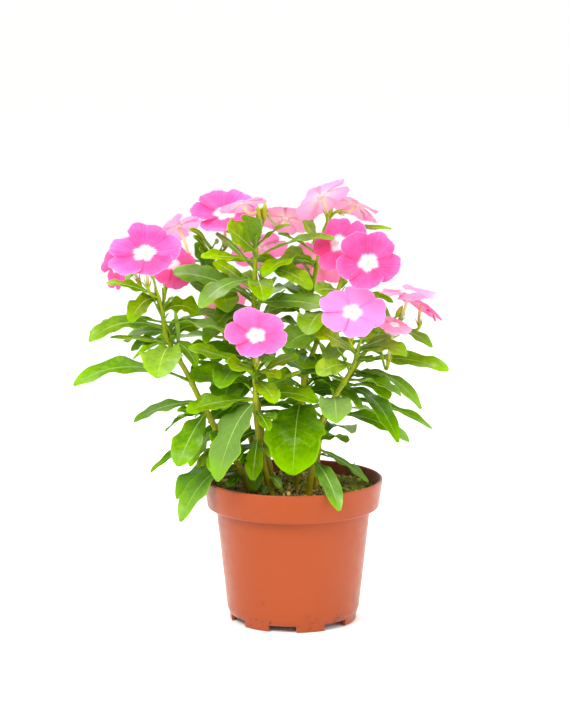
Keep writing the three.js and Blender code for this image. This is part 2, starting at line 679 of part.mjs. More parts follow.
function soilSolid() {
  const underside = FOOT_HEIGHT + FLOOR + SOIL_LIFT;
  const inset = WALL + SOIL_GAP;
  const profile = [
    [0, underside],
    [WALL_FOOT_RADIUS - inset - FOOT_TAPER - SOIL_CLEAR, underside],
    [WALL_TOP_RADIUS - inset, BAND_FOOT],
    [BAND_FOOT_RADIUS - inset - SOIL_CLEAR, BAND_FOOT + 2 * BAND_CORNER_HEIGHT],
    [RIM_RADIUS - inset - 2 * SOIL_CLEAR, SOIL_TOP],
    ...SOIL_RINGS.map((ring) => [ring, SOIL_TOP]),
    [0, SOIL_TOP],
  ].map(([r, z]) => new THREE.Vector2(r, z));
  const body = new THREE.LatheGeometry(profile, SOIL_SIDES);
  body.rotateX(Math.PI / 2);
  const position = body.attributes.position;
  for (let i = 0; i < position.count; i += 1) {
    if (position.getZ(i) > SOIL_TOP - SOIL_CLEAR) {
      position.setZ(i, SOIL_TOP + clodHeight(position.getX(i), position.getY(i)));
    }
  }
  return solidOf(body);
}

function soilWithHoles() {
  let soil = soilSolid();
  for (const name of Object.keys(STEMS)) {
    const hole = stemSolid(name, HOLE_GAP).translate([0, 0, -CALYX_GAP]);
    soil = soil.subtract(hole);
  }
  return soil;
}

// Leaves go in one after another, each clear of all that stands already

function boxesMeet(a, b) {
  const [p, q] = [a.boundingBox(), b.boundingBox()];
  return [0, 1, 2].every((axis) => p.min[axis] < q.max[axis] && q.min[axis] < p.max[axis]);
}

function isClear(leaf, standing) {
  const whole = leafSolid(leaf, 0, CLEARANCE);
  const blade = leafSolid(leaf, FREE_FROM, CLEARANCE);
  return standing.every(({ stem, solid }) => {
    const tested = stem === leaf.stem ? blade : whole;
    return !boxesMeet(tested, solid) || tested.intersect(solid).isEmpty();
  });
}

function growLeaves(standing) {
  const grown = [];
  const tries = listTries();
  [...shownLeaves(), ...hiddenLeaves()].forEach((sketch, index) => {
    const leaf = { ...sketch, phase: GOLDEN_ANGLE * index };
    const move = tries.find((each) => isClear(bentLeaf(leaf, each), standing));
    if (move) {
      const solid = leafSolid(bentLeaf(leaf, move));
      standing.push({ stem: leaf.stem, solid });
      grown.push({ stem: leaf.stem, solid, index, move });
    }
  });
  return grown;
}

const blooms = BLOOMS.map(bloomFrame);
const bloomSolids = blooms.map(bloomSolid);
const stalkSolids = blooms.map(stalkSolid);
const stemSolids = Object.keys(STEMS).map((name) => stemSolid(name));
const pot = potSolid();
const soil = soilWithHoles();
const standing = [{ solid: pot }, { solid: soil }];
Object.keys(STEMS).forEach((stem, i) => standing.push({ stem, solid: stemSolids[i] }));
blooms.forEach(({ stem }, k) => standing.push({ stem, solid: stalkSolids[k] }, { solid: bloomSolids[k] }));
const leaves = growLeaves(standing);

const plant = new THREE.Group();
plant.add(meshOf("pot", pot, COLOURS.pot, 0.45));
plant.add(meshOf("soil", soil, COLOURS.soil, 0.95));
Object.keys(STEMS).forEach((name, i) => {
  const parts = [stemSolids[i]];
  blooms.forEach((bloom, k) => {
    if (bloom.stem === name) {
      parts.push(stalkSolids[k]);
    }
  });
  parts.push(...leaves.filter((leaf) => leaf.stem === name).map((leaf) => leaf.solid));
  plant.add(meshOf(`stem_${name}`, fuse(parts), COLOURS.leaf, 0.55));
});
blooms.forEach((bloom, k) => {
  plant.add(meshOf(bloom.name, bloomSolids[k], COLOURS[bloom.colour], 0.6));
});

// The origin is the middle of the underside of the whole plant's box
const reach = new THREE.Box3().setFromObject(plant);
plant.position.set(-(reach.min.x + reach.max.x) / 2, -(reach.min.y + reach.max.y) / 2, -reach.min.z);

export default plant;
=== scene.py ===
import math

import bmesh
import bpy
import numpy as np
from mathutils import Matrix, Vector, kdtree


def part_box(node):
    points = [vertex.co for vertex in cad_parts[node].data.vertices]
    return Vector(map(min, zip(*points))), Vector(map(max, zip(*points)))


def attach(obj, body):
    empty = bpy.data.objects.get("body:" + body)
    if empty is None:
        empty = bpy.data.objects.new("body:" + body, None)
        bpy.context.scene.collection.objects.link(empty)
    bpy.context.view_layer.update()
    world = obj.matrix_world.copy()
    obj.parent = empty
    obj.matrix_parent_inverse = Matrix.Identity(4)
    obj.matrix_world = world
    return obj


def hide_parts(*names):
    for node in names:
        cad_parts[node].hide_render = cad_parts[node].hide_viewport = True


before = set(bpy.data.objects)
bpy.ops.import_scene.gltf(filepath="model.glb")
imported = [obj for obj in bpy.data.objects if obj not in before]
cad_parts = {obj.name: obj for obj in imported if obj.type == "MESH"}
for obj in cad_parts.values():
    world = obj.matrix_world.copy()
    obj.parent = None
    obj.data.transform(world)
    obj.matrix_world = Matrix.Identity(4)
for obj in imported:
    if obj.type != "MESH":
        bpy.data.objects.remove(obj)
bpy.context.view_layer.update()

bl_info = {
    "name": "Potted rosy periwinkle",
    "version": (1, 0, 0),
    "blender": (4, 5, 0),
    "location": "3D View > Sidebar > Periwinkle",
    "description": "Makes a rosy periwinkle with its leaves, blooms, soil and nursery pot",
    "category": "Add Mesh",
}

# Shapes are worked out in millimetres from the middle of the pot's underside, and made in metres
POT_LOW, POT_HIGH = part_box("pot")
POT_MIDDLE = np.array([(POT_LOW.x + POT_HIGH.x) / 2, (POT_LOW.y + POT_HIGH.y) / 2, POT_LOW.z])
GOLDEN_ANGLE = 2.399963
UP = np.array([0.0, 0.0, 1.0])
SOIL_TOP = 87.5

# Seeds of the random draws
SEEDS = {"young leaves": 5, "soil": 11, "litter": 23}

# Where each stem runs: points on its middle line, from a little under the top of the soil
STEMS = {
    "centre": [(-10, 0, 76), (-17, -1, 108), (-23, 0, 138), (-26, 1, 172), (-26, 2, 208), (-25, 3, 252)],
    "front": [(-11, -15, 76), (-19, -20, 106), (-24, -23, 138), (-25, -25, 163), (-25, -27, 181)],
    "left": [(-24, -8, 76), (-36, -10, 105), (-50, -11, 129), (-62, -12, 152), (-70, -13, 169),
             (-82, -15, 191), (-86, -16, 211), (-90, -17, 226)],
    "leftback": [(-19, 12, 76), (-27, 19, 112), (-37, 23, 150), (-46, 23, 188), (-52, 24, 222),
                 (-55, 23, 248)],
    "back": [(1, 16, 76), (5, 18, 115), (7, 18, 155), (7, 18, 187), (10, 17, 207), (16, 14, 238),
             (21, 10, 264)],
    "tall": [(2, 0, 76), (3, -4, 110), (4, -6, 140), (9, -4, 168), (18, 0, 194), (28, 0, 218),
             (34, -1, 236)],
    "right": [(9, -16, 76), (12, -17, 105), (16, -15, 131), (26, -18, 152), (39, -21, 175), (43, -23, 191)],
    "far": [(14, 4, 76), (16, 5, 106), (20, 5, 132), (34, 6, 157), (51, 7, 184), (65, 8, 201)],
}
STEM_RADII = (2.7, 1.5)

# One row for each bloom: name, middle, heading and rise, first petal's angle, radius, cup, colour, stem,
# height on the stem, and its calyx where it is given
BLOOMS = [
    ("bloom_left_front", (-95.5, -32, 250), -98, 54, 82, 22.5, 2, "pink", "left", 221),
    ("bloom_left_inner", (-80, 1, 240), -70, 30, 64, 15.5, -3, "deep", "left", 215),
    ("bloom_left_outer", (-117, 0, 238.5), -145, 10, 20, 15, 0, "deep", "left", 224),
    ("bloom_upper_left", (-46, 17, 272), -92, 63, 110, 22.5, 3, "pink", "leftback", 245),
    ("bloom_pale_left", (-78.5, 37, 262), 130, 48, 30, 16, -2, "pale", "leftback", 236),
    ("bloom_top_left", (-33, -12, 281), 125, 66, 20, 14.5, -2, "pale", "centre", 249, (-23, 0, 275)),
    ("bloom_top_centre", (-5, 24, 268.5), 75, 50, 60, 16.5, -2, "pale", "centre", 250, (-19, 4, 275)),
    ("bloom_top", (18, -6, 285), 130, 46, 80, 18.5, -3, "pale", "back", 262, (22, -4, 273)),
    ("bloom_top_right", (42, 14, 278), 40, 56, 20, 17.5, -3, "pale", "back", 259, (31, 6, 274)),
    ("bloom_right_front", (47.5, -38, 244.5), -104, 38, 50, 20, 3, "deep", "tall", 230, (44, -14, 232)),
    ("bloom_right_inner", (29, -15, 255), -128, 25, 100, 18, -2, "deep", "tall", 227),
    ("bloom_right_middle", (37.5, -37, 212.5), -88, 44, 61, 19.5, 1, "pink", "right", 187),
    ("bloom_centre_front", (-24, -44, 198.5), -92, 47, 105, 18.5, 3, "pink", "front", 179),
    ("bloom_far_top", (75, -10, 222.5), -60, 84, 30, 17, -1, "pale", "far", 197, (71, -5, 204)),
    ("bloom_far_right", (87, 8, 212.5), 20, 55, 70, 15, -4, "deep", "far", 199, (84, 4, 199)),
    ("bloom_far_low", (65.5, -24, 202.5), -60, 66, 10, 10.5, -1, "pale", "far", 191),
    ("bloom_back_left", (-24, 45, 246), 100, 40, 30, 18, -2, "pink", "centre", 236),
    ("bloom_back_right", (17, 38, 237), 65, 35, 75, 19, -2, "deep", "back", 228),
    ("bloom_back_low", (-48, 42, 212), 125, 30, 50, 18, -2, "deep", "leftback", 196),
]

# One row for each leaf on the near side: stem, height of its root, tip, width, arch and tilt
SHOWN_LEAVES = [
    ("left", 164, -142, -30, 163.5, 18, 11, 22),
    ("left", 104, -74, -38, 74, 18, 13, 15),
    ("centre", 241, -60.5, -8, 245, 12, 1.5, 22),
    ("centre", 247, -43, -16, 264.5, 21, 1, 72),
    ("centre", 249, -48, 12, 262, 8, 2, 0),
    ("centre", 250, -2, 5, 265, 8, 3, 5),
    ("centre", 243, 26, -19, 257.8, 13, 5, 10),
    ("centre", 228, -60.5, -28, 214, 14, 6.5, 20),
    ("centre", 217, -80, 2, 234.5, 18, 3.5, 40),
    ("centre", 235, 12, -8, 223.5, 16, 6, 25),
    ("centre", 213, 20, -12, 212.5, 18, 2.5, 32),
    ("centre", 210, -58, -12, 188, 19, 9, 15),
    ("front", 175, -68, -30, 188, 13, 2, 25),
    ("front", 169, -48, -42, 177, 17, 4, 25),
    ("centre", 174, -70, -6, 180, 21, 4, 30),
    ("centre", 158, -68, -16, 166, 19, 3, 30),
    ("left", 150, -105.5, -10, 135.5, 12, 4, 28),
    ("left", 143, -85.5, 6, 126, 10, 4, 22),
    ("front", 155, -69, -34, 147, 17, 2.5, 20),
    ("front", 153, -49, -52, 104.5, 24, 11, 10),
    ("front", 168, -12, -46, 155, 14, 3, 10),
    ("front", 174, -9, -40, 170, 10, 2, 10),
    ("front", 170, 3, -30, 181, 11, 3, 25),
    ("front", 158, 16, -33, 153, 15, 4, 30),
    ("front", 147, -16, -36, 135, 9, 2, 0),
    ("front", 130, -26.5, -36, 101.5, 12, 3, 0),
    ("tall", 147, -0.5, -44, 107, 38, 11, 0),
    ("tall", 157, -14, -18, 161, 21, 5, 30),
    ("tall", 152, 36, -2, 150, 17, 5, 25),
    ("left", 221.5, -122, -14, 228.5, 12, 2, 15),
    ("left", 219, -105.5, -24, 208.8, 15, 6.5, 25),
    ("left", 211, -63, -16, 208, 20, 5, 25),
    ("left", 200, -132.5, -24, 191.5, 16, 8, 30),
    ("left", 197, -112, 9, 188, 18, 3, 35),
    ("left", 190, -106, -16, 184, 13, 4, 20),
    ("left", 193, -62, -6, 199, 14, 3, 25),
    ("left", 187, -87, -42, 170.5, 26, 7, 0),
    ("left", 164, -46, 2, 162, 9, 2, 15),
    ("left", 143, -75, -40, 112, 19, 4, 18),
    ("left", 126, -95, -8, 101, 13, 4, 15),
    ("left", 119, -61, -17, 97, 19, 5, 20),
    ("right", 177, 15.5, -38, 172, 15, 3, 30),
    ("right", 184, 11, -28, 198.5, 18, 3, 35),
    ("tall", 192, -5, -20, 187, 21, 4, 35),
    ("right", 186, 73, -30, 183, 15, 5, 25),
    ("right", 154, 19.5, -52, 143.5, 21, 6, 0),
    ("far", 174, 101, -20, 171.5, 15, 4, 25),
    ("far", 165, 83, -24, 147, 11, 10, 8),
    ("far", 166, 60, 6, 153, 15, 4, 20),
    ("far", 148, 92, -6, 130, 11, 5.5, 15),
    ("far", 154, 77, -8, 123.7, 15, 13, 8),
    ("far", 138, 78, 10, 118, 14, 6, 28),
    ("far", 195, 95, -8, 186, 10, 4, 15),
    ("far", 193, 60, -22, 187, 14, 3, 0),
    ("tall", 219, 66, -1, 214, 13, 3, 15),
    ("back", 250.5, 6, -3, 268, 18, 1, 70),
    ("back", 243, -10, 8, 259, 10, 2, 10),
    ("back", 235, -6, 14, 245, 15, 1.5, 40),
    ("back", 254, 66, 8, 263, 8, 3, 10),
    ("right", 111, 29.5, -64, 87.5, 12, 7, 15),
    ("far", 114, 50.5, 3, 91.5, 9, 2, 20),
    ("left", 99, -50, -19, 97, 8, 2, 0),
    ("back", 150, 22, -12, 157, 18, 5, 25),
    ("back", 172, -3, -12, 180, 18, 5, 20),
    ("centre", 190, -52, 6, 197, 18, 4, 30),
    ("tall", 176, -12, -22, 175, 17, 4, 30),
]

# Pairs of leaves that fill the plant out all round: stem, lowest and highest pair, how many, the first
# one's heading, length and width
HIDDEN_PAIRS = [
    ("centre", 116, 226, 5, 70, 50, 20),
    ("leftback", 108, 236, 6, 70, 58, 22),
    ("back", 112, 238, 6, 100, 58, 22),
    ("tall", 122, 206, 3, 60, 46, 19),
    ("left", 128, 204, 2, 75, 48, 18),
    ("right", 122, 166, 2, 70, 38, 18),
    ("far", 122, 186, 3, 60, 50, 18),
]

# Degrees from one pair to the next, spread of sizes, slope, more slope for every second pair, and arch
HIDDEN_TURN = 97
HIDDEN_VARIETY = 0.14
HIDDEN_SLOPE = 0.12
HIDDEN_DROOP = 0.1
HIDDEN_ARCH = 0.13

# A blade's outline: where it is widest, how it opens from the foot and closes to the tip, and its cut end
LEAF_WIDEST = 0.639
LEAF_FOOT_POWER = 1.15
LEAF_TIP_POWER = 0.65
LEAF_CUT = 0.995

# Further leaves, which the solid stems don't carry: stem, height of the root, tip, width, arch and tilt
SMALL_LEAVES = [
    ("leftback", 245, -69.5, 18, 261, 4, 3, 65),
    ("leftback", 245, -50.1, 14, 252.7, 5, 2, 60),
    ("leftback", 239, -66.6, 12, 256.9, 5, 2, 65),
    ("leftback", 233, -62.6, 10, 248.5, 8, 2, 70),
    ("leftback", 226, -46.7, 12, 252.3, 6, 2, 60),
    ("centre", 236, -51.2, 6, 259.6, 5, 1, 40),
    ("centre", 221, -53.4, 12, 239.5, 9, 2, 40),
    ("centre", 213, -56.7, 10, 233.1, 8, 2, 30),
    ("centre", 209, -11.5, 8, 230, 4.5, 1, 20),
    ("centre", 195, -18.7, -6, 225.9, 3.5, 1, 10),
    ("centre", 197, -5.5, -2, 222.6, 6, 1, 20),
    ("tall", 188, 21.5, -14, 178.4, 3.5, 3, 10),
    ("right", 178, 45.2, -32, 197.9, 4, 0.5, 60),
    ("right", 183, 58.6, -26, 181.7, 4, 4, 15),
    ("right", 187, 63.1, -26, 194.3, 8, 1, 45),
    ("tall", 164, 9.7, -12, 179.4, 3.5, 0.5, 50),
    ("far", 162, 60.7, -10, 155.6, 9, 6, 25),
    ("right", 158, 33.8, -26, 163.8, 3.5, 1, 20),
    ("centre", 160, -64.5, -4, 174.7, 7, 2, 25),
    ("left", 205, -98.1, -22, 230, 6, 2, 20),
    ("left", 205, -85.4, -16, 225.9, 5, 1, 20),
    ("left", 178, -76.8, -20, 210.6, 4, 1, 20),
    ("front", 160, 4.2, -38, 173.8, 6, 1, 25),
    ("tall", 205, 34, -8, 225.5, 5, 1, 30),
    ("back", 225, 4.5, 8, 240, 8, 2, 35),
    ("back", 212, -7.5, 8, 236, 9, 2, 35),
    ("back", 196, -2.2, 6, 211.5, 9, 2, 35),
    ("left", 97, -49.8, 0, 93.8, 7, 3, 15),
    ("front", 109, -26, -24, 91.6, 13, 4, 30),
    ("front", 100, -8.1, -22, 92.5, 7, 3, 30),
    ("tall", 90, -2.2, -6, 94.5, 4, 1, 30),
    ("tall", 90, 7.9, -6, 93.8, 4, 1, 30),
    ("far", 110, 40.1, 25, 92.6, 13, 4, 10),
    ("tall", 112, 15.8, -14, 98.9, 11, 3, 35),
    ("left", 118, -64, -12, 105.3, 12, 3, 20),
    ("front", 96, -19.4, -22, 89.2, 6, 1, 40),
    ("left", 101, -38.3, -6, 90.4, 6, 2, 30),
    ("back", 207, -18.8, 10, 205.5, 14, 2, 30),
    ("left", 190, -63.2, -22, 174.4, 11, 6, 20),
    ("left", 132, -68.6, -14, 106.4, 12, 2, 30),
    ("leftback", 140, -55.3, 12, 132.5, 11, 2, 30),
    ("leftback", 126, -61.2, 6, 122, 11, 2, 30),
    ("right", 172, 28.4, -30, 187.7, 10, 1, 45),
    ("tall", 222, 14.3, -8, 222.8, 11, 1, 55),
    ("centre", 250, -29.8, -4, 272, 17, 2, 5),
    ("leftback", 222, -66.1, 16, 251.8, 13, 1, 80),
    ("leftback", 212, -68.7, 10, 225.7, 13, 2, 60),
    ("centre", 165, -35.5, -2, 150.8, 12, 2, 30),
    ("tall", 180, 15.7, -4, 174.1, 10, 1, 30),
    ("front", 140, -11.4, -30, 141.9, 9, 2, 30),
    ("leftback", 184, -53.9, 16, 170.7, 11, 1, 30),
    ("front", 118, -35.2, -22, 110.8, 9, 1, 30),
    ("right", 180, 52.1, -26, 179.1, 8, 1, 30),
    ("left", 190, -118.6, -24, 194, 7, 1, 20),
    ("left", 172, -84.2, -18, 203.7, 7, 1, 30),
    ("centre", 186, -20.7, -6, 208.5, 8, 1, 30),
    ("left", 140, -76.2, -16, 143.9, 8, 2, 25),
    ("tall", 150, -16.8, -8, 168.7, 10, 2, 25),
    ("back", 170, 24.7, 8, 150.3, 12, 2, 20),
    ("centre", 128, -43.5, -6, 117.6, 10, 2, 30),
]

# The small turns, lifts and shortenings that a leaf may have taken to be clear of the rest
TURNS = (0, 9, -9, 18, -18, 30, -30)
LIFTS = (0, 0.1, -0.1, 0.22, -0.22)
SHRINKS = (1, 0.88, 0.76, 0.64)

# Half the thickness of the solid blades, how near a tip lies to its corners, and the fewest leaves to find
SOLID_HALF_THICKNESS = 0.38
CORNER_REACH = 0.05
FEWEST_LEAVES = 100


def srgb(red, green, blue):
    """A colour given as 0 to 255 on screen, as Blender's linear numbers."""
    def linear(value):
        value /= 255
        return value / 12.92 if value <= 0.04045 else ((value + 0.055) / 1.055) ** 2.4
    return (linear(red), linear(green), linear(blue), 1.0)


def opaque(colour):
    """A setting's colour with full opacity."""
    return tuple(colour) + (1.0,)


def unit(vectors):
    return vectors / np.maximum(np.linalg.norm(vectors, axis=-1, keepdims=True), 1e-9)


def smooth(value, low, high):
    t = np.clip((value - low) / (high - low), 0, 1)
    return t * t * (3 - 2 * t)


def opened_out(point):
    """What opens out to the back hangs a little lower, and to the front a little higher."""
    x, y, z = point
    shift = 0.5 * y * min(max((z - SOIL_TOP) / 60, 0), 1)
    return np.array([x, y + shift, z - 0.165 * shift])


def direction(turn, rise):
    """The unit vector with a heading and a rise in radians."""
    return np.array([math.cos(turn) * math.cos(rise), math.sin(turn) * math.cos(rise), math.sin(rise)])


def all_round(count):
    return np.linspace(0, 2 * np.pi, count, endpoint=False)


def turned(vector, axis, angle):
    """The vector turned about a unit axis, by an angle in radians."""
    return (vector * np.cos(angle)[..., None] + np.cross(axis, vector) * np.sin(angle)[..., None]
            + axis * (np.sum(axis * vector, axis=-1) * (1 - np.cos(angle)))[..., None])


def bezier(t, start, middle, end):
    t = np.asarray(t, float)[..., None]
    return start * (1 - t) ** 2 + middle * 2 * t * (1 - t) + end * t ** 2


class Skin:
    """Gathers the points, faces and painted values of one piece before it becomes a mesh."""

    def __init__(self, *values):
        self.points = []
        self.faces = []
        self.values = {name: [] for name in values}
        self.count = 0

    def add(self, points, faces, **values):
        points = np.asarray(points, float).reshape(-1, 3)
        self.points.append(points)
        self.faces.extend(tuple(int(i) + self.count for i in face) for face in faces)
        for name, stored in self.values.items():
            stored.append(np.broadcast_to(np.asarray(values.get(name, 0.0), float).ravel(), (len(points),)))
        self.count += len(points)

    def piece(self, name, material, slot, replaced=()):
        """Makes the piece's object, which rides on the plant and may stand for CAD nodes."""
        mesh = bpy.data.meshes.new(name)
        points = (np.concatenate(self.points) + POT_MIDDLE * 1000) / 1000
        mesh.from_pydata(points.tolist(), [], self.faces)
        for value, stored in self.values.items():
            layer = mesh.attributes.new(value, "FLOAT", "POINT")
            layer.data.foreach_set("value", np.concatenate(stored).astype(np.float32))
        mesh.polygons.foreach_set("use_smooth", [True] * len(mesh.polygons))
        mesh.materials.append(material)
        mesh.validate()
        made = bpy.data.objects.new(name, mesh)
        bpy.context.scene.collection.objects.link(made)
        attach(made, "root")
        if replaced:
            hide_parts(*replaced)
        return made


def grid_faces(rows, columns, start=0, flip=False, closed=False):
    """Quads over a grid of points, row by row; closed joins the last column to the first."""
    faces = []
    for row in range(rows - 1):
        for column in range(columns if closed else columns - 1):
            beside = (column + 1) % columns
            a, b = start + row * columns + column, start + row * columns + beside
            c, d = b + columns, a + columns
            faces.append((a, d, c, b) if flip else (a, b, c, d))
    return faces


def add_blade(skin, middle, normal, thickness, **values):
    """A thin closed blade from a grid of points, their normals and half thicknesses."""
    rows, columns = middle.shape[:2]
    count = rows * columns
    top, under = middle + normal * thickness[..., None], middle - normal * thickness[..., None]
    faces = grid_faces(rows, columns) + grid_faces(rows, columns, count, flip=True)
    ring = list(range(columns)) + [r * columns + columns - 1 for r in range(1, rows)]
    ring += [(rows - 1) * columns + c for c in range(columns - 2, -1, -1)]
    ring += [r * columns for r in range(rows - 2, 0, -1)]
    for here, there in zip(ring, ring[1:] + ring[:1]):
        faces.append((there, here, here + count, there + count))
    both = {name: np.tile(np.broadcast_to(value, (rows, columns)).ravel(), 2)
            for name, value in values.items()}
    both["under"] = np.concatenate([np.zeros(count), np.ones(count)])
    skin.add(np.concatenate([top.reshape(-1, 3), under.reshape(-1, 3)]), faces, **both)


def add_rod(skin, path, radii, sides=10, **values):
    """A round rod along a path of points, closed at both ends."""
    path = np.asarray(path, float)
    ahead = unit(np.gradient(path, axis=0))
    chord = unit(path[-1] - path[0])
    guide = np.array([1.0, 0, 0]) if abs(chord[0]) < 0.8 else np.array([0, 1.0, 0])
    side = unit(guide - ahead * (ahead @ guide)[:, None])
    other = np.cross(side, ahead)
    angles = all_round(sides)
    radii = np.broadcast_to(radii, len(path))[:, None, None]
    rings = path[:, None] + radii * (side[:, None] * np.cos(angles)[None, :, None]
                                     + other[:, None] * np.sin(angles)[None, :, None])
    rows = len(path)
    faces = grid_faces(rows, sides, closed=True, flip=True)
    faces.append(tuple(range(sides)))
    faces.append(tuple(reversed(range((rows - 1) * sides, rows * sides))))
    spread = {name: np.repeat(np.broadcast_to(value, rows), sides) for name, value in values.items()}
    skin.add(rings, faces, **spread)


class StemLine:
    """A stem's middle line, by height: a smooth curve through its points."""

    def __init__(self, points):
        self.points = np.array([opened_out(point) for point in points])
        self.foot, self.top = self.points[0, 2], self.points[-1, 2]

    def slope(self, i):
        before, after = self.points[max(i - 1, 0)], self.points[min(i + 1, len(self.points) - 1)]
        return (after[:2] - before[:2]) / (after[2] - before[2])

    def at_height(self, z):
        i = 0
        while i < len(self.points) - 2 and self.points[i + 1][2] < z:
            i += 1
        a, b = self.points[i], self.points[i + 1]
        rise = b[2] - a[2]
        t = (z - a[2]) / rise
        flat = (a[:2] * (2 * t ** 3 - 3 * t ** 2 + 1) + self.slope(i) * rise * (t ** 3 - 2 * t ** 2 + t)
                + b[:2] * (3 * t ** 2 - 2 * t ** 3) + self.slope(i + 1) * rise * (t ** 3 - t ** 2))
        return np.array([flat[0], flat[1], z])

    def radius_at(self, z):
        share = (z - self.foot) / (self.top - self.foot)
        return STEM_RADII[0] + (STEM_RADII[1] - STEM_RADII[0]) * share


STEM_LINES = {name: StemLine(points) for name, points in STEMS.items()}


class Leaf:
    """One leaf: its stem, root, tip, width, arch at its middle, tilt to the front and waves' phase."""

    def __init__(self, stem, root, tip, width, arch, tilt, phase):
        self.stem, self.root, self.tip = stem, root, tip
        self.width, self.arch, self.tilt, self.phase = width, arch, tilt, phase

    def half_width(self, s):
        t = s * LEAF_CUT
        peak = LEAF_WIDEST ** LEAF_FOOT_POWER * (1 - LEAF_WIDEST) ** LEAF_TIP_POWER
        return np.maximum(0.5 * self.width * t ** LEAF_FOOT_POWER * (1 - t) ** LEAF_TIP_POWER / peak,
                          min(1.15, 0.25 * self.width))

    def frame_at(self, s):
        middle = self.root + (self.tip - self.root) * 0.6 + UP * 2 * self.arch
        point = bezier(s, self.root, middle, self.tip)
        ahead = unit((middle - self.root) * (1 - s)[:, None] + (self.tip - middle) * s[:, None])
        heading = unit((self.tip - self.root) * np.array([1, 1, 0]))
        side = np.broadcast_to(np.cross(heading, UP), ahead.shape)
        facing = self.tilt * (1 if heading[0] >= 0 else -1)
        side = turned(side, ahead, np.radians(facing + 12 * math.sin(self.phase) * (s - 0.4)))
        return point, side, unit(np.cross(side, ahead))

    def blade(self, s, across, bend=1.0):
        """The blade's grid of points, and its normals, for rows s and columns across."""
        point, side, normal = self.frame_at(s)
        row = s[:, None]
        half = self.half_width(row)
        wave = np.sin(np.pi * row) * np.sin(13 * row + self.phase + across)
        lift = np.abs(across) ** bend * (0.2 * half + 0.075 * self.width * wave)
        grid = (point[:, None] + side[:, None] * (across * half)[..., None]
                + normal[:, None] * lift[..., None])
        return grid, np.broadcast_to(normal[:, None], grid.shape)

    def bent(self, turn, lift, shrink):
        """The same leaf, turned, lifted and shortened a little."""
        reach = turned(self.tip - self.root, UP, np.asarray(math.radians(turn)))
        reach = reach + UP * lift * np.linalg.norm(reach)
        width = self.width * (1 + shrink) / 2
        return Leaf(self.stem, self.root, self.root + reach * shrink, width, self.arch, self.tilt, self.phase)


def leaves_from(rows):
    """One leaf for each row: stem, height of its root, tip, width, arch and tilt."""
    leaves = []
    for stem, height, x, y, z, width, arch, tilt in rows:
        root = STEM_LINES[stem].at_height(height)
        phase = GOLDEN_ANGLE * len(leaves)
        leaves.append(Leaf(stem, root, opened_out((x, y, z)), width, arch, tilt, phase))
    return leaves


def sketched_leaves():
    """The leaves as they were drawn, before any of them gave way to its neighbours."""
    leaves = leaves_from(SHOWN_LEAVES)
    for stem, low, high, pairs, heading, length, width in HIDDEN_PAIRS:
        for i in range(pairs):
            root = STEM_LINES[stem].at_height(low + (high - low) * i / (pairs - 1))
            size = 1 + HIDDEN_VARIETY * math.sin(GOLDEN_ANGLE * (i + low))
            drop = HIDDEN_SLOPE + HIDDEN_DROOP * size * (i % 2)
            for half in (0, 180):
                turn = math.radians(heading + HIDDEN_TURN * i + half)
                tip = root + np.array([math.cos(turn), math.sin(turn), -drop]) * length * size
                phase = GOLDEN_ANGLE * len(leaves)
                leaves.append(Leaf(stem, root, tip, width * size, HIDDEN_ARCH * length, 0, phase))
    return leaves


def placed_leaves():
    """Each leaf as the solid stem carries it: the gentlest bend whose tip lies on the solid's corners."""
    tries = sorted(((turn, lift, shrink) for shrink in SHRINKS for lift in LIFTS for turn in TURNS),
                   key=lambda t: 0.1 * abs(t[0]) + 10 * abs(t[1]) + 12 * (1 - t[2]))
    corners = {}
    for stem in STEMS:
        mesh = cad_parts["stem_" + stem].data
        tree = kdtree.KDTree(len(mesh.vertices))
        for i, vertex in enumerate(mesh.vertices):
            tree.insert((Vector(vertex.co) - Vector(POT_MIDDLE)) * 1000, i)
        tree.balance()
        corners[stem] = tree
    end, columns = np.array([1.0]), np.array([-1.0, 0.0, 1.0])
    found = []
    for sketch in sketched_leaves():
        for turn, lift, shrink in tries:
            leaf = sketch.bent(turn, lift, shrink)
            grid, normals = leaf.blade(end, columns)
            tips = (grid + normals * SOLID_HALF_THICKNESS)[0]
            if all(corners[leaf.stem].find(Vector(tip))[2] < CORNER_REACH for tip in tips):
                found.append(leaf)
                break
    return found


def axil_leaves(leaves):
    """A slight young leaf in the angle between the stem and three in five of its leaves."""
    rng = np.random.default_rng(SEEDS["young leaves"])
    young = []
    for leaf in leaves:
        grows = rng.random() < 0.6
        turn, rise, size = rng.uniform(-45, 45), rng.uniform(0.5, 1.7), rng.uniform(7, 14)
        if grows:
            reach = turned(leaf.tip - leaf.root, UP, np.asarray(math.radians(turn)))
            heading = unit(reach * np.array([1, 1, 0]))
            root = leaf.root + UP
            tip = root + unit(heading + UP * rise) * size
            young.append(Leaf(leaf.stem, root, tip, 0.3 * size, 0.08 * size, 20, leaf.phase))
    return young


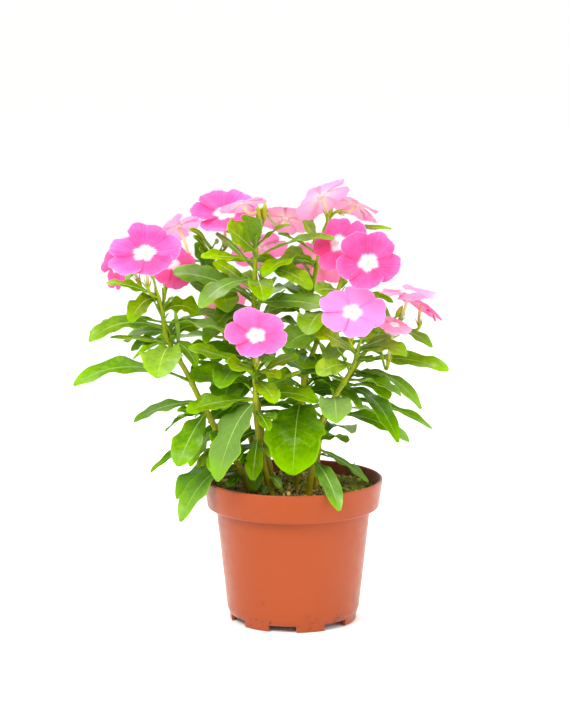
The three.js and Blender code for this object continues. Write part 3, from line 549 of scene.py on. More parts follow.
class Finish:
    """Builds one material's nodes from short calls, with a running colour that others are laid over."""

    def __init__(self, name, colour=None):
        self.material = bpy.data.materials.new(name)
        self.material.use_nodes = True
        self.tree = self.material.node_tree
        self.tree.nodes.clear()
        self.output = self.node("ShaderNodeOutputMaterial")
        self.place = self.node("ShaderNodeTexCoord").outputs["Object"]
        self.colour = colour

    def put(self, socket, value):
        if isinstance(value, bpy.types.NodeSocket):
            self.tree.links.new(value, socket)
        else:
            socket.default_value = value

    def node(self, kind, inputs=None, **traits):
        """A node of one kind with its traits set, and a value or link put into each input that is given."""
        made = self.tree.nodes.new(kind)
        for trait, value in traits.items():
            setattr(made, trait, value)
        for socket, value in (inputs or {}).items():
            self.put(made.inputs[socket], value)
        return made

    def painted(self, name):
        return self.node("ShaderNodeAttribute", attribute_name=name).outputs["Fac"]

    def math(self, operation, *values):
        return self.node("ShaderNodeMath", dict(enumerate(values)), operation=operation).outputs[0]

    def times(self, a, b):
        return self.math("MULTIPLY", a, b)

    def plus(self, a, b):
        return self.math("ADD", a, b)

    def minus(self, a, b):
        return self.math("SUBTRACT", a, b)

    def mix(self, share, a, b):
        return self.node("ShaderNodeMix", {0: share, 6: a, 7: b}, data_type="RGBA").outputs[2]

    def lay(self, share, colour):
        """Lays a colour over the running one, by a share."""
        self.colour = self.mix(share, self.colour, colour)

    def ramp(self, value, *stops):
        node = self.node("ShaderNodeValToRGB", {0: value})
        elements = node.color_ramp.elements
        while len(elements) < len(stops):
            elements.new(0.5)
        for element, (position, colour) in zip(elements, stops):
            element.position = position
            element.color = colour
        return node.outputs[0]

    def noise(self, scale, detail, roughness=0.5, stretch=None):
        vector = self.place
        if stretch:
            vector = self.node("ShaderNodeMapping", {"Scale": stretch, "Vector": vector}).outputs[0]
        inputs = {"Vector": vector, "Scale": scale, "Detail": detail, "Roughness": roughness}
        return self.node("ShaderNodeTexNoise", inputs).outputs[0]

    def rays(self, spot, scale, detail):
        """Flat noise that is drawn out into rays by the stretched place it is given."""
        inputs = {"Vector": spot, "Scale": scale, "Detail": detail}
        return self.node("ShaderNodeTexNoise", inputs, noise_dimensions="2D").outputs[0]

    def between(self, value, low, high, to_low=0.0, to_high=1.0):
        """The value's smooth passage from low to high, as a number from to_low to to_high."""
        inputs = dict(enumerate((value, low, high, to_low, to_high)))
        return self.node("ShaderNodeMapRange", inputs, interpolation_type="SMOOTHSTEP").outputs[0]

    def patches(self, scale, detail, low, high, to_low=0.0, to_high=1.0, **noise):
        """Patches of noise: to_low where it is under low, to_high where it is over high."""
        return self.between(self.noise(scale, detail, **noise), low, high, to_low, to_high)

    def bump(self, height, strength, distance):
        inputs = {"Strength": strength, "Distance": distance, "Height": height}
        return self.node("ShaderNodeBump", inputs).outputs[0]

    def shade(self, through=0.0, glow=None, **inputs):
        """Ends the material: a main surface with inputs by name, and the share of light through a blade."""
        inputs = {name.replace("_", " "): value for name, value in inputs.items()}
        last = self.node("ShaderNodeBsdfPrincipled", {"Base Color": self.colour, **inputs}).outputs[0]
        if through:
            thin = self.node("ShaderNodeBsdfTranslucent", {"Color": glow}).outputs[0]
            last = self.node("ShaderNodeMixShader", {0: through, 1: last, 2: thin}).outputs[0]
        self.put(self.output.inputs["Surface"], last)
        return self.material


# The pot

# The slots in the foot: how many, the first one's angle, half the width of one in degrees, and its height
FOOT_SLOTS = 7
FIRST_SLOT = -100
SLOT_HALF_WIDTH = 12.7
SLOT_HEIGHT = 4.2
SLOT_SIDE = 1e-4

# Degrees from one column of the wall to the next, and how many rows of the profile lie inside the pot
WALL_STEP = 2
INSIDE_ROWS = 21

# Points nearer than this in metres are joined, and edges bent by more than this in degrees are sharp
WELD_REACH = 2e-6
SHARP_FROM = 32

# Drain holes in the floor, in millimetres
DRAINS = 4
DRAIN_CIRCLE = 25
DRAIN_RADIUS = 5
DRAIN_DEPTH = 8
FLOOR_MIDDLE = 5.4

# Where soil has splashed on the pot's foot: place and reach
SPLASHES = ((-43, -6, 6, 7), (-35, -24, 4, 6), (42, -10, 10, 10), (30, -31, 5, 8), (38, -20, 18, 6),
            (-20, -40, 20, 2.5))


def rounded_profile(corners):
    """A profile of (radius, height, fillet) corners, with each corner eased over its fillet."""
    flat = [np.array(corner[:2], float) for corner in corners]
    out = []
    for i, (r, z, fillet) in enumerate(corners):
        if not fillet:
            out.append(flat[i])
            continue
        before, here, after = flat[i - 1], flat[i], flat[(i + 1) % len(flat)]
        start = here + unit(before - here) * fillet
        end = here + unit(after - here) * fillet
        out.extend(bezier(np.linspace(0, 1, 6), start, here, end))
    return np.array(out)


def within(angle, low, high):
    """Whether an angle lies between two others, in degrees round the circle."""
    return (angle - low) % 360 < (high - low) % 360


def pot_mesh(settings):
    """The pot's wall, band, chamfer and slotted foot, turned round its middle line."""
    rim, height = settings.rim_radius * 1000, settings.height * 1000
    wall = settings.wall * 1000
    band_foot = height - settings.band_height * 1000
    profile = rounded_profile([
        (0, 4.4, 0), (40.6, 4.4, 0.5), (40.6, 0, 0.5), (42.6, 0, 0.5), (43, 4.4, 0), (44.4, 8, 1.6),
        (51.8, band_foot, 0.5), (57.5, band_foot + 0.3, 1.5), (rim, height - 0.6, 0.4),
        (rim - 0.5, height, 0.4), (rim - wall + 0.3, height, 0.4), (rim - wall, height - 0.7, 0.4),
        (57.6 - wall, band_foot + 2.5, 1.2), (51.8 - wall, band_foot - 0.5, 1.2), (42.3, 6.4, 1.5),
        (0, 6.4, 0),
    ])
    columns = [(angle, False) for angle in range(0, 360, WALL_STEP)]
    for i in range(FOOT_SLOTS):
        middle = FIRST_SLOT + i * 360 / FOOT_SLOTS
        low, high = (middle - SLOT_HALF_WIDTH) % 360, (middle + SLOT_HALF_WIDTH) % 360
        columns = [(angle, slot or within(angle, low, high)) for angle, slot in columns]
        columns += [(low, False), (low + SLOT_SIDE, True), (high - SLOT_SIDE, True), (high, False)]
    columns = sorted(set(columns))
    rings = []
    for angle, slot in columns:
        r, z = profile[:, 0], profile[:, 1]
        z = np.where(slot & (z < SLOT_HEIGHT), SLOT_HEIGHT, z)
        turn = math.radians(angle)
        rings.append(np.stack([r * math.cos(turn), r * math.sin(turn), z], 1))
    skin = Skin("inside")
    rows = len(profile)
    inner = np.arange(rows) >= rows - INSIDE_ROWS
    skin.add(np.stack(rings, 1), grid_faces(rows, len(columns), closed=True),
             inside=np.repeat(inner, len(columns)))
    return skin


def drill_drains(pot):
    """Cuts the drain holes through the floor."""
    cutters = []
    for i in range(DRAINS):
        angle = 2 * math.pi * (i + 0.5) / DRAINS
        place = np.array([DRAIN_CIRCLE * math.cos(angle), DRAIN_CIRCLE * math.sin(angle), FLOOR_MIDDLE])
        bpy.ops.mesh.primitive_cylinder_add(vertices=32, radius=DRAIN_RADIUS / 1000,
                                            depth=DRAIN_DEPTH / 1000, location=POT_MIDDLE + place / 1000)
        cutters.append(bpy.context.object)
    for cutter in cutters:
        cut = pot.modifiers.new("drain", "BOOLEAN")
        cut.operation = "DIFFERENCE"
        cut.solver = "EXACT"
        cut.object = cutter
    bpy.context.view_layer.update()
    drilled = bpy.data.meshes.new_from_object(pot.evaluated_get(bpy.context.evaluated_depsgraph_get()))
    pot.modifiers.clear()
    pot.data = drilled
    for cutter in cutters:
        bpy.data.objects.remove(cutter)


def pot_finish(settings):
    """Moulded plastic: faint clouds and scuffs, soil splashed on the foot, and an inside darkened by soil
    stains and painted shade.
    """
    pale = opaque(min(1.0, c * 1.15 + 0.012) for c in settings.colour)
    paint = Finish("moulded_terracotta_plastic", opaque(settings.colour))
    paint.lay(paint.patches(9, 3, 0.35, 0.7, 0.0, 0.4), pale)
    scuffs = paint.patches(60, 5, 0.6, 0.78, roughness=0.65, stretch=(9, 9, 0.7))
    paint.lay(paint.times(scuffs, 0.08), pale)
    grain = paint.noise(1500, 2)
    paint.lay(paint.between(grain, 0.3, 0.7, 0.0, 0.1), srgb(150, 60, 26))
    height = paint.node("ShaderNodeSeparateXYZ", {0: paint.place}).outputs["Z"]
    low = paint.between(height, 0.004, 0.017, 1.0, 0.0)
    specks = paint.patches(420, 4, 0.57, 0.62, roughness=0.7)
    dirt = paint.times(paint.times(specks, paint.patches(90, 3, 0.38, 0.5)), low)
    clots = paint.patches(520, 3, 0.5, 0.56, roughness=0.6)
    for x, y, z, size in SPLASHES:
        spot = Vector(POT_MIDDLE) + Vector((x, y, z)) / 1000
        away = paint.node("ShaderNodeVectorMath", {0: paint.place, 1: spot}, operation="DISTANCE")
        near = paint.between(away.outputs["Value"], 0.2 * size / 1000, size / 1000, 1.0, 0.0)
        dirt = paint.math("MAXIMUM", dirt, paint.times(near, clots))
    paint.lay(paint.times(dirt, settings.dirt), srgb(74, 48, 30))
    # The inside is a darker brown: partly soil stains and partly painted shade
    inside_stain_and_shade = paint.times(paint.painted("inside"), paint.patches(110, 4, 0.3, 0.7, 0.55, 0.9))
    paint.lay(inside_stain_and_shade, srgb(96, 44, 30))
    roughness = paint.patches(160, 4, 0.3, 0.7, settings.roughness - 0.05, settings.roughness + 0.08)
    normal = paint.bump(paint.plus(grain, paint.times(scuffs, 0.5)), 0.12, 0.0001)
    return paint.shade(Roughness=roughness, Normal=normal, Specular_IOR_Level=0.3, IOR=1.46,
                       Sheen_Weight=0.3, Sheen_Roughness=0.35)


# The soil

# How far out the crumbs and the straws lie, and the ring where moss grows
CRUMB_REACH = 54
STRAW_REACH = 50
MOSS_RING = (38, 53)
MOSS_BLADES = 13

# Bits laid one by one: place, turn, length, radius, kind from straw to bark, curl and rise
LAID_BITS = (
    (22, -47, 0.5, 19, 0.8, 0.35, 0.5, 0.02), (9, -50, 2.6, 15, 0.7, 0.25, -0.9, 0.03),
    (-22, -49, 0.2, 13, 0.7, 0.2, 0.8, 0.02), (-38, -38, 1.0, 9, 0.9, 0.3, -0.7, 0.05),
    (-41, 5, 2.8, 14, 0.6, 0.1, 0.4, 0.05), (-37, -1, 0.2, 12, 0.7, 0.12, -0.5, 0.04),
    (-33, -9, 2.5, 9, 0.5, 0.1, 0.3, 0.1), (-1, -15, 0.9, 7, 0.4, 0.1, 0.2, 0.5),
    (3, -14, 1.2, 6, 0.4, 0.1, -0.2, 0.5), (33, -4, 0.3, 15, 0.7, 0.5, 0.5, 0.03),
    (41, 6, 0.7, 12, 0.7, 0.45, -0.5, 0.05), (46, 14, 1.3, 10, 0.6, 0.5, 0.5, 0.05),
    (-20, -14, 0.4, 9, 0.6, 0.3, 0.6, 0.05), (26, 2, 2.6, 9, 0.5, 0.15, -0.4, 0.1),
)


# The filling's profile in millimetres, from the middle of its underside out and up: radius and height
FILLING = [(0, 6.75), (36, 6.75), (41.1, 6.75), (49.4, 76.5), (54.7, 80.5), (55.3, 84), (56.2, 86.2)]

# Points round the filling, and the rings of its top: the outermost one's radius and how many
SOIL_SIDES = 160
TOP_REACH = 55.4
TOP_RINGS = 44


def soil_top(x, y):
    """The height of the cloddy soil at a place."""
    coarse = np.sin(0.31 * x + 1.3) * np.cos(0.27 * y - 0.6)
    fine = np.sin(0.83 * x - 0.4 * y) * np.cos(0.71 * y + 0.35 * x)
    return SOIL_TOP + 1.3 * (0.6 * coarse + 0.5 * fine)


def strewn(rng, reach):
    """A place drawn evenly over a disc."""
    r, turn = reach * math.sqrt(rng.random()), rng.random() * 2 * math.pi
    return r * math.cos(turn), r * math.sin(turn)


def add_lump(skin, centre, size, rng, **values):
    """An uneven crumb: a ball of eight by six points with every point pushed in or out."""
    stretch = 0.7 + 0.6 * rng.random(3)
    points = []
    for tilt in np.linspace(-np.pi / 2, np.pi / 2, 6):
        for turn in all_round(8):
            push = 1 if abs(tilt) > 1.5 else 0.75 + 0.5 * rng.random()
            points.append(direction(turn, tilt) * push)
    points = np.array(points) * stretch * size / 2 + centre
    skin.add(points, grid_faces(6, 8, closed=True), **values)


def soil_skin(settings):
    """The filling down to the floor, with its cloddy top and the loose crumbs on it."""
    rng = np.random.default_rng(SEEDS["soil"])
    skin = Skin("crumb")
    turns = all_round(SOIL_SIDES)
    rows = []
    for r, z in FILLING + [(r, None) for r in np.linspace(TOP_REACH, 0, TOP_RINGS)]:
        x, y = r * np.cos(turns), r * np.sin(turns)
        if z is None:
            rough = 0.55 * np.sin(2.1 * x + 1.7 * y) * np.sin(1.9 * y - 0.6 * x)
            rough = rough + 0.35 * rng.standard_normal(SOIL_SIDES) * (1 if r > 1 else 0)
            z = soil_top(x, y) + np.clip(rough, -0.7, 0.7) - 0.4
        rows.append(np.stack([x, y, np.broadcast_to(z, SOIL_SIDES)], 1))
    skin.add(np.stack(rows), grid_faces(len(rows), SOIL_SIDES, closed=True), crumb=0.3)
    for _ in range(settings.crumbs):
        x, y = strewn(rng, CRUMB_REACH)
        size = 0.9 + 3.2 * rng.random() ** 3
        add_lump(skin, np.array([x, y, soil_top(x, y) + 0.1 * size]), size, rng, crumb=rng.random())
    return skin


def litter_skin(settings):
    """Straw, twigs, curled dry bits and tufts of moss lying on the soil."""
    rng = np.random.default_rng(SEEDS["litter"])
    skin = Skin("kind", "tone")

    def lying(x, y, turn, length, radius, kind, curl=0.3, rise=0.0):
        along = np.linspace(-0.5, 0.5, 9)
        bend = curl * length * (along ** 2 - 0.12)
        px = x + along * length * math.cos(turn) - bend * math.sin(turn)
        py = y + along * length * math.sin(turn) + bend * math.cos(turn)
        lift = np.maximum(0, along + 0.5) * rise * length
        path = np.stack([px, py, soil_top(x, y) + radius * 0.8 + 0.5 + lift], 1)
        add_rod(skin, path, radius * (1 - 0.6 * np.abs(along)), 6, kind=kind, tone=rng.random())

    for _ in range(settings.straws):
        lying(*strewn(rng, STRAW_REACH), rng.random() * 3.1, 3 + 9 * rng.random(),
              0.18 + 0.25 * rng.random(), 0.15 + 0.3 * rng.random(), rng.uniform(-0.6, 0.6),
              0.12 * rng.random())
    for bit in LAID_BITS:
        lying(*bit)
    t = np.linspace(0, 1, 14)
    curl = np.stack([45 + 3.5 * np.sin(5.5 * t), 22 - 2 * np.cos(6 * t), soil_top(45, 20) + 15 * t], 1)
    add_rod(skin, curl, 0.55 - 0.3 * t, 6, kind=0.9, tone=0.2)
    for _ in range(settings.moss_tufts):
        turn = rng.uniform(-0.5, 0.8) if rng.random() < 0.55 else rng.uniform(-3.5, -0.5)
        r = rng.uniform(*MOSS_RING)
        x, y = r * math.cos(turn), r * math.sin(turn)
        for _ in range(MOSS_BLADES):
            px, py = x + rng.normal(0, 1.6), y + rng.normal(0, 1.6)
            lean = rng.normal(0, 0.9, 2)
            s = np.linspace(0, 1, 4)
            tall = rng.uniform(1.2, 3.2)
            up = soil_top(px, py) - 0.3 + tall * s
            path = np.stack([px + lean[0] * s ** 2, py + lean[1] * s ** 2, up], 1)
            add_rod(skin, path, 0.28 * (1.1 - s), 4, kind=0.6, tone=rng.random())
    return skin


def soil_finish(settings):
    """Damp dark clods with pale specks and a green bloom of moss in patches."""
    paint = Finish("damp_potting_soil")
    speckle = paint.noise(700, 6, 0.75)
    shade = paint.plus(paint.times(paint.painted("crumb"), 0.35), paint.times(speckle, 0.75))
    paint.colour = paint.ramp(shade, (0.26, srgb(30, 20, 10)), (0.43, opaque(settings.colour)),
                              (0.58, srgb(170, 146, 66)), (0.72, srgb(232, 208, 116)))
    green = paint.times(paint.patches(90, 4, 0.5, 0.6), paint.patches(480, 4, 0.4, 0.6))
    paint.lay(paint.times(green, 0.7), srgb(150, 160, 22))
    normal = paint.bump(paint.noise(900, 6, 0.75), 0.9, 0.0012)
    return paint.shade(Roughness=0.92, Normal=normal)


def litter_finish():
    """One finish for all that lies on the soil, coloured by its kind: straw, moss or bark."""
    paint = Finish("straw_moss_and_twigs")
    paint.colour = paint.ramp(
        paint.painted("kind"), (0.1, srgb(188, 164, 104)), (0.4, srgb(120, 92, 52)),
        (0.55, srgb(144, 164, 28)), (0.75, srgb(160, 172, 38)), (0.9, srgb(66, 46, 30)))
    paint.lay(paint.between(paint.painted("tone"), 0, 1, 0.0, 0.4), srgb(70, 56, 34))
    paint.lay(paint.patches(900, 4, 0.4, 0.7, 0.0, 0.35), srgb(52, 38, 24))
    return paint.shade(Roughness=0.8, Normal=paint.bump(paint.noise(1600, 3), 0.4, 0.0003))


# Stems and leaves

# Length of a bloom's tube from its eye to its calyx, and how many petals and sepals it has
TUBE_LENGTH = 23
PETALS = 5


class Bloom:
    """One bloom: its eye, calyx and tube, and the three directions that its petals are set out in."""

    def __init__(self, name, middle, heading, rise, twist, radius, cup, colour, stem, height, calyx=None):
        self.name, self.twist, self.radius, self.cup = name, twist, radius, cup
        self.colour, self.stem, self.height = colour, stem, height
        turn = math.radians(heading)
        self.centre = opened_out(middle)
        self.right = np.array([-math.sin(turn), math.cos(turn), 0])
        self.ahead = direction(turn, math.radians(rise))
        self.above = np.cross(self.ahead, self.right)
        self.behind = self.centre - self.ahead * 0.6 * TUBE_LENGTH
        self.foot = self.centre - self.ahead * 0.75 * TUBE_LENGTH - UP * 0.35 * TUBE_LENGTH
        if calyx:
            self.foot = opened_out(calyx)
            self.behind = self.centre - self.ahead * 0.5 * np.linalg.norm(self.centre - self.foot)


# Small leaves are counted from here on, so that they have numbers of their own in the tints below
SMALL_FROM = 200

# How bright and how pale some of the leaves are, by number; the paleness is partly painted sheen
LEAF_TINTS = {
    0: (0.6, 0.2), 1: (0.5, 0.5), 2: (1.0, 0), 3: (1.0, 0.2), 7: (0.3, 0.9), 8: (0.1, 0.6),
    9: (0.8, 0.2), 10: (0.3, 0.5), 11: (0.1, 0), 12: (0.3, 0), 13: (0.3, 0), 14: (0.1, 0),
    16: (0.5, 0.6), 17: (0.1, 0.1), 18: (0.6, 0), 19: (0.2, 1.0), 20: (0.8, 0), 22: (0.4, 0),
    23: (0.5, 0), 25: (0.4, 0), 26: (0.45, 0), 32: (0.3, 0.3), 33: (0.4, 0.8), 34: (0, 0),
    36: (1.0, 0.5), 38: (0.5, 0.1), 40: (0.8, 0.2), 41: (1.0, 0), 43: (0.4, 0.4), 44: (0.8, 0.2),
    45: (0.7, 1.2), 46: (0.9, 0.2), 47: (0.6, 0.5), 48: (0, 0), 49: (0.1, 0.1), 52: (0.3, 0.7),
    54: (0.1, 0), 59: (0.3, 0.4), 60: (0.2, 1.1), 228: (0.1, 0), 229: (0.3, 0), 232: (0, 0),
    233: (0.4, 0.4), 234: (1.0, 0), 237: (0, 0), 238: (0.5, 0.2), 240: (0, 0), 241: (0.4, 0),
    242: (0.2, 0), 243: (0.7, 0), 244: (0.9, 0), 245: (0.9, 1.2), 246: (0.3, 0.2), 247: (0, 0),
    248: (0, 0), 249: (0.3, 0), 250: (0, 0), 251: (0.2, 0), 257: (0, 0), 258: (0, 0),
    259: (0.1, 0),
}

# Young leaves of an olive green, and how bright they are
OLIVE_LEAVES = {
    5: 0.3, 6: 0.1, 29: 0.0, 30: 0.2, 31: 0.2, 40: 0.9, 55: 0.7, 58: 0.3, 200: 0.2, 201: 0.2,
    202: 0.1, 204: 0.3, 234: 0.9, 243: 0.3, 244: 0.8,
}

# Leaves with a torn and uneven edge
TORN_LEAVES = (19, 26, 30, 36, 8)

# Leaves narrower than this have fewer points, and stay young in colour above this height over the soil
SLIGHT_WIDTH = 8
YOUNG_ABOVE = 35

# Columns of points across a blade, from edge to edge
ACROSS_WIDE = np.array([-1, -0.86, -0.68, -0.48, -0.28, -0.11, 0, 0.11, 0.28, 0.48, 0.68, 0.86, 1])
ACROSS_SMALL = np.array([-1, -0.6, -0.2, 0, 0.2, 0.6, 1])


def add_leaf(skin, leaf, index, age, small=False):
    """One blade with its raised rib, quilting between the veins and uneven edge."""
    run = np.linspace(0, 1, 11 if small else 27)
    s = run[:, None]
    across = ACROSS_SMALL if small else ACROSS_WIDE
    grid, normal = leaf.blade(run, across, bend=1.15)
    half, reach, side = leaf.half_width(s), np.abs(across), 2.1 * np.sign(across)
    swell = np.sin(np.pi * s) ** 0.5
    calm = 0.25 if small else 0.6 if index >= SMALL_FROM else 1.0
    ragged = 1.9 if index in TORN_LEAVES else calm
    ripple = calm * 0.055 * leaf.width * swell * np.sin(23 * s + 1.7 * leaf.phase + 2 * across)
    quilt = 0.1 * np.sin(2 * np.pi * (9 * s - 2.0 * reach)) * np.sin(np.pi * reach)
    quilt = calm * quilt * smooth(s, 0.1, 0.3)
    uneven = 0.04 * np.sin(19 * s + 1.3 * leaf.phase + side)
    uneven = uneven + 0.022 * np.sin(43 * s + 2.9 * leaf.phase + 2 * side)
    uneven = ragged * uneven * swell
    rib_line = grid[:, len(across) // 2][:, None]
    grid = grid + (grid - rib_line) * (uneven * reach ** 2)[..., None]
    grid = grid + normal * (ripple * reach ** 3 + quilt)[..., None]
    rib = np.exp(-((across * half) / 0.6) ** 2)
    thickness = 0.27 - 0.14 * reach + 0.28 * rib * (1 - 0.8 * s)
    pull = smooth(s, 0.0, 0.16)
    thickness = thickness * pull + (1 - pull) * min(0.62, 0.15 * leaf.width)
    tone, pale = 0.5 + 0.5 * math.sin(5.1 * index + 0.7), 0.8 * max(0, math.sin(2.3 * index + 1.1)) ** 2
    tone, pale = LEAF_TINTS.get(index, (tone, pale))
    if index in OLIVE_LEAVES:
        tone, pale, age = OLIVE_LEAVES[index], 0, 1.0
    add_blade(skin, grid, normal, thickness, along=s, across=across, tone=tone, pale=pale, age=age,
              wide=half)


def leaf_age(leaf):
    """0 for the darkest old leaves near the soil, 1 for the yellow-green young ones at the top."""
    line = STEM_LINES[leaf.stem]
    height = (leaf.root[2] - SOIL_TOP) / (line.top - SOIL_TOP)
    size = np.linalg.norm(leaf.tip - leaf.root)
    return float(np.clip(0.75 * height ** 1.5 + 0.3 * (1 - size / 70), 0, 1))


def add_stem(skin, name, leaves):
    """A tapering stem, a little swollen where each leaf leaves it."""
    line = STEM_LINES[name]
    heights = np.linspace(line.foot, line.top, int((line.top - line.foot) / 1.6))
    path = np.array([line.at_height(z) for z in heights])
    plain = np.array([line.radius_at(z) for z in heights])
    radii = plain
    for leaf in leaves:
        radii = radii + 0.32 * np.exp(-((heights - leaf.root[2] + 0.6) / 1.5) ** 2)
    radii = np.minimum(radii, plain + 0.45)
    radii[-3:] *= (0.95, 0.8, 0.5)
    add_rod(skin, path, 0.9 * radii, 14, along=(heights - SOIL_TOP) / 180)


def add_stalk(skin, bloom):
    """A bloom's short stalk from the stem to its calyx, and the calyx's five pointed sepals."""
    root = STEM_LINES[bloom.stem].at_height(bloom.height)
    into = unit(bloom.foot - bloom.behind)
    middle = bloom.foot + into * 0.45 * np.linalg.norm(root - bloom.foot)
    t = np.linspace(0, 1, 16)
    path = bezier(t, root, middle, bloom.foot)
    radii = 0.85 + 0.3 * t ** 2 + 0.45 * smooth(t, 0.86, 0.97)
    add_rod(skin, path, radii, 10, along=0.9)
    towards = -into
    side = unit(bloom.right - towards * (bloom.right @ towards))
    other = np.cross(towards, side)
    for k in range(PETALS):
        turn = 2 * math.pi * k / PETALS + 0.3
        out = side * math.cos(turn) + other * math.sin(turn)
        start = bloom.foot + out * 1.2 - towards * 0.6
        tip = bloom.foot + out * 2.7 + towards * 4.6
        middle = bloom.foot + out * 1.9 + towards * 1.8
        u = np.linspace(0, 1, 7)
        add_rod(skin, bezier(u, start, middle, tip), 0.5 * (1.02 - u) ** 0.7 + 0.03, 6, along=1.0)


# Closed buds: the stem, the height where the stalk leaves it, the bud's foot and its tip
BUDS = [
    ("centre", 251, (-22.5, -2, 266), (-23.5, -3, 279)),
    ("centre", 250.5, (-19.5, 0, 268), (-18.5, -1, 281)),
    ("back", 262, (24, 6, 270), (25, 5, 281)),
    ("far", 196, (68, -4, 205), (72, -7, 213)),
    ("left", 222, (-91, -18, 232), (-94, -19, 240)),
    ("leftback", 244, (-60, 26, 252), (-64, 28, 260)),
    ("tall", 231, (31, 4, 240), (30, 7, 249)),
]


def add_bud(skin, bud):
    """A slim pointed bud at the end of its short stalk."""
    stem, height, foot, tip = bud
    root, foot, tip = STEM_LINES[stem].at_height(height), opened_out(foot), opened_out(tip)
    t = np.linspace(0, 1, 8)
    stalk = bezier(t, root, (root + foot) / 2 + UP, foot)
    s = np.linspace(0, 1, 14)
    swell = 0.8 + 1.15 * np.sin(np.pi * s ** 0.8) ** 1.3 * (1 - 0.25 * s)
    swell[-3:] *= (0.85, 0.6, 0.25)
    path = np.concatenate([stalk, foot + (tip - foot) * s[1:, None]])
    radii = np.concatenate([np.full(8, 0.8), swell[1:]])
    add_rod(skin, path, radii, 10, along=np.concatenate([np.full(8, 0.85), 0.9 + 0.3 * s[1:]]))


def stem_finish(settings):
    """Smooth stems, brownish at the soil and yellow-green above, with long faint streaks."""
    paint = Finish("smooth_green_stem")
    paint.colour = paint.ramp(
        paint.painted("along"), (0.0, srgb(134, 112, 4)), (0.2, srgb(150, 144, 6)),
        (0.5, opaque(settings.colour)), (0.9, srgb(146, 170, 8)), (1.2, srgb(172, 168, 30)))
    paint.lay(paint.patches(120, 4, 0.35, 0.7, 0.0, 0.4, stretch=(6, 6, 0.8)), srgb(108, 122, 8))
    paint.lay(paint.patches(420, 3, 0.5, 0.75, 0.0, 0.25), srgb(186, 194, 70))
    normal = paint.bump(paint.noise(500, 3, stretch=(3, 3, 0.5)), 0.25, 0.0003)
    return paint.shade(Roughness=0.42, Normal=normal, Specular_IOR_Level=0.25, IOR=1.45)


def leaf_finish(settings):
    """Green blades: pale midrib, faint side veins, mottling, painted shade at the foot, yellower young
    leaves, pale undersides.
    """
    paint = Finish("waxy_periwinkle_leaf")
    along, reach = paint.painted("along"), paint.math("ABSOLUTE", paint.painted("across"))
    tone = paint.painted("tone")
    old = paint.mix(tone, srgb(40, 106, 0), srgb(124, 184, 0))
    young = paint.mix(tone, srgb(112, 136, 4), srgb(180, 198, 0))
    paint.colour = paint.mix(paint.painted("age"), old, young)
    paint.lay(paint.times(paint.patches(60, 4, 0.38, 0.68), 0.45), srgb(136, 186, 0))
    paint.lay(paint.patches(330, 4, 0.44, 0.62, 0.0, 0.4, roughness=0.7), srgb(50, 102, 0))
    paint.lay(paint.patches(110, 3, 0.48, 0.7, 0.0, 0.3), srgb(36, 90, 0))
    # Painted shade: each blade darker towards its foot, most near its midrib
    painted_foot_shade = paint.times(paint.between(along, 0.1, 0.75, 0.5, 0.0), paint.between(reach, 0.1, 0.9, 1.0, 0.3))
    paint.lay(painted_foot_shade, srgb(38, 88, 0))
    # Some leaves greyed towards a pale grey-green: partly their own colour and partly painted sheen
    paint.lay(paint.times(paint.painted("pale"), 0.65), srgb(122, 154, 82))
    sweep = paint.plus(paint.times(reach, 1.1), paint.times(paint.times(reach, reach), 0.9))
    vein_at = paint.minus(paint.times(along, 9.0), sweep)
    fold = paint.math("PINGPONG", paint.plus(vein_at, paint.times(paint.noise(160, 2), 0.35)), 0.5)
    fade = paint.times(paint.between(reach, 0.45, 0.95, 1.0, 0.0), paint.between(along, 0.08, 0.25))
    fade = paint.times(fade, paint.between(along, 0.7, 0.86, 1.0, 0.0))
    vein = paint.times(paint.between(fold, 0.0, 0.07, 1.0, 0.0), fade)
    rib = paint.between(paint.times(reach, paint.painted("wide")), 0.16, 0.5, 1.0, 0.0)
    rib = paint.times(rib, paint.between(along, 0.5, 1.0, 1.0, 0.2))
    paint.lay(paint.times(vein, 0.24), opaque(settings.vein_colour))
    paint.lay(paint.times(rib, 0.85), opaque(settings.vein_colour))
    paint.lay(paint.between(reach, 0.88, 1.0, 0.0, 0.55), srgb(164, 206, 30))
    tip = paint.times(paint.between(along, 0.72, 1.0, 0.0, 0.65), paint.between(reach, 0.0, 0.8, 0.6, 1.0))
    paint.lay(tip, srgb(140, 196, 0))
    paint.lay(paint.between(along, 0.02, 0.14, 0.85, 0.0), srgb(150, 180, 50))
    paint.lay(paint.times(paint.painted("under"), 0.6), srgb(138, 178, 64))
    raised = paint.plus(paint.times(vein, -0.25), paint.times(rib, -0.8))
    raised = paint.plus(raised, paint.times(paint.noise(500, 3), 0.4))
    roughness = paint.patches(200, 3, 0.3, 0.7, settings.roughness - 0.05, settings.roughness + 0.09)
    glow = paint.mix(0.6, paint.colour, srgb(160, 210, 0))
    return paint.shade(settings.light_through, glow, Roughness=roughness, IOR=1.45,
                       Normal=paint.bump(raised, 0.45, 0.0006),
                       Specular_IOR_Level=paint.patches(45, 3, 0.48, 0.64))


# Blooms

# Where the petals leave the throat, half the angle that each one takes, and how it leans over its neighbour
HUB_RADIUS = 2.3
PETAL_HALF_ANGLE = 41
PETAL_TILT = 0.1

# The throat's profile from its middle out and round to the tube: radius and height
THROAT_PROFILE = [(0.0, -0.5), (0.35, -0.3), (0.65, 0.15), (1.05, 0.42), (1.6, 0.46), (2.3, 0.38),
                  (3.0, 0.22), (3.5, -0.05), (2.4, -0.45), (1.6, -1.0)]
THROAT_DEEP_ROWS = 3
THROAT_FRONT_ROWS = 8

# How pale some of the blooms are beside others of their colour
BLOOM_TINTS = {"bloom_right_middle": 0.85, "bloom_centre_front": 0.2, "bloom_left_inner": 0.1,
               "bloom_back_left": 0.4, "bloom_pale_left": 1.0}


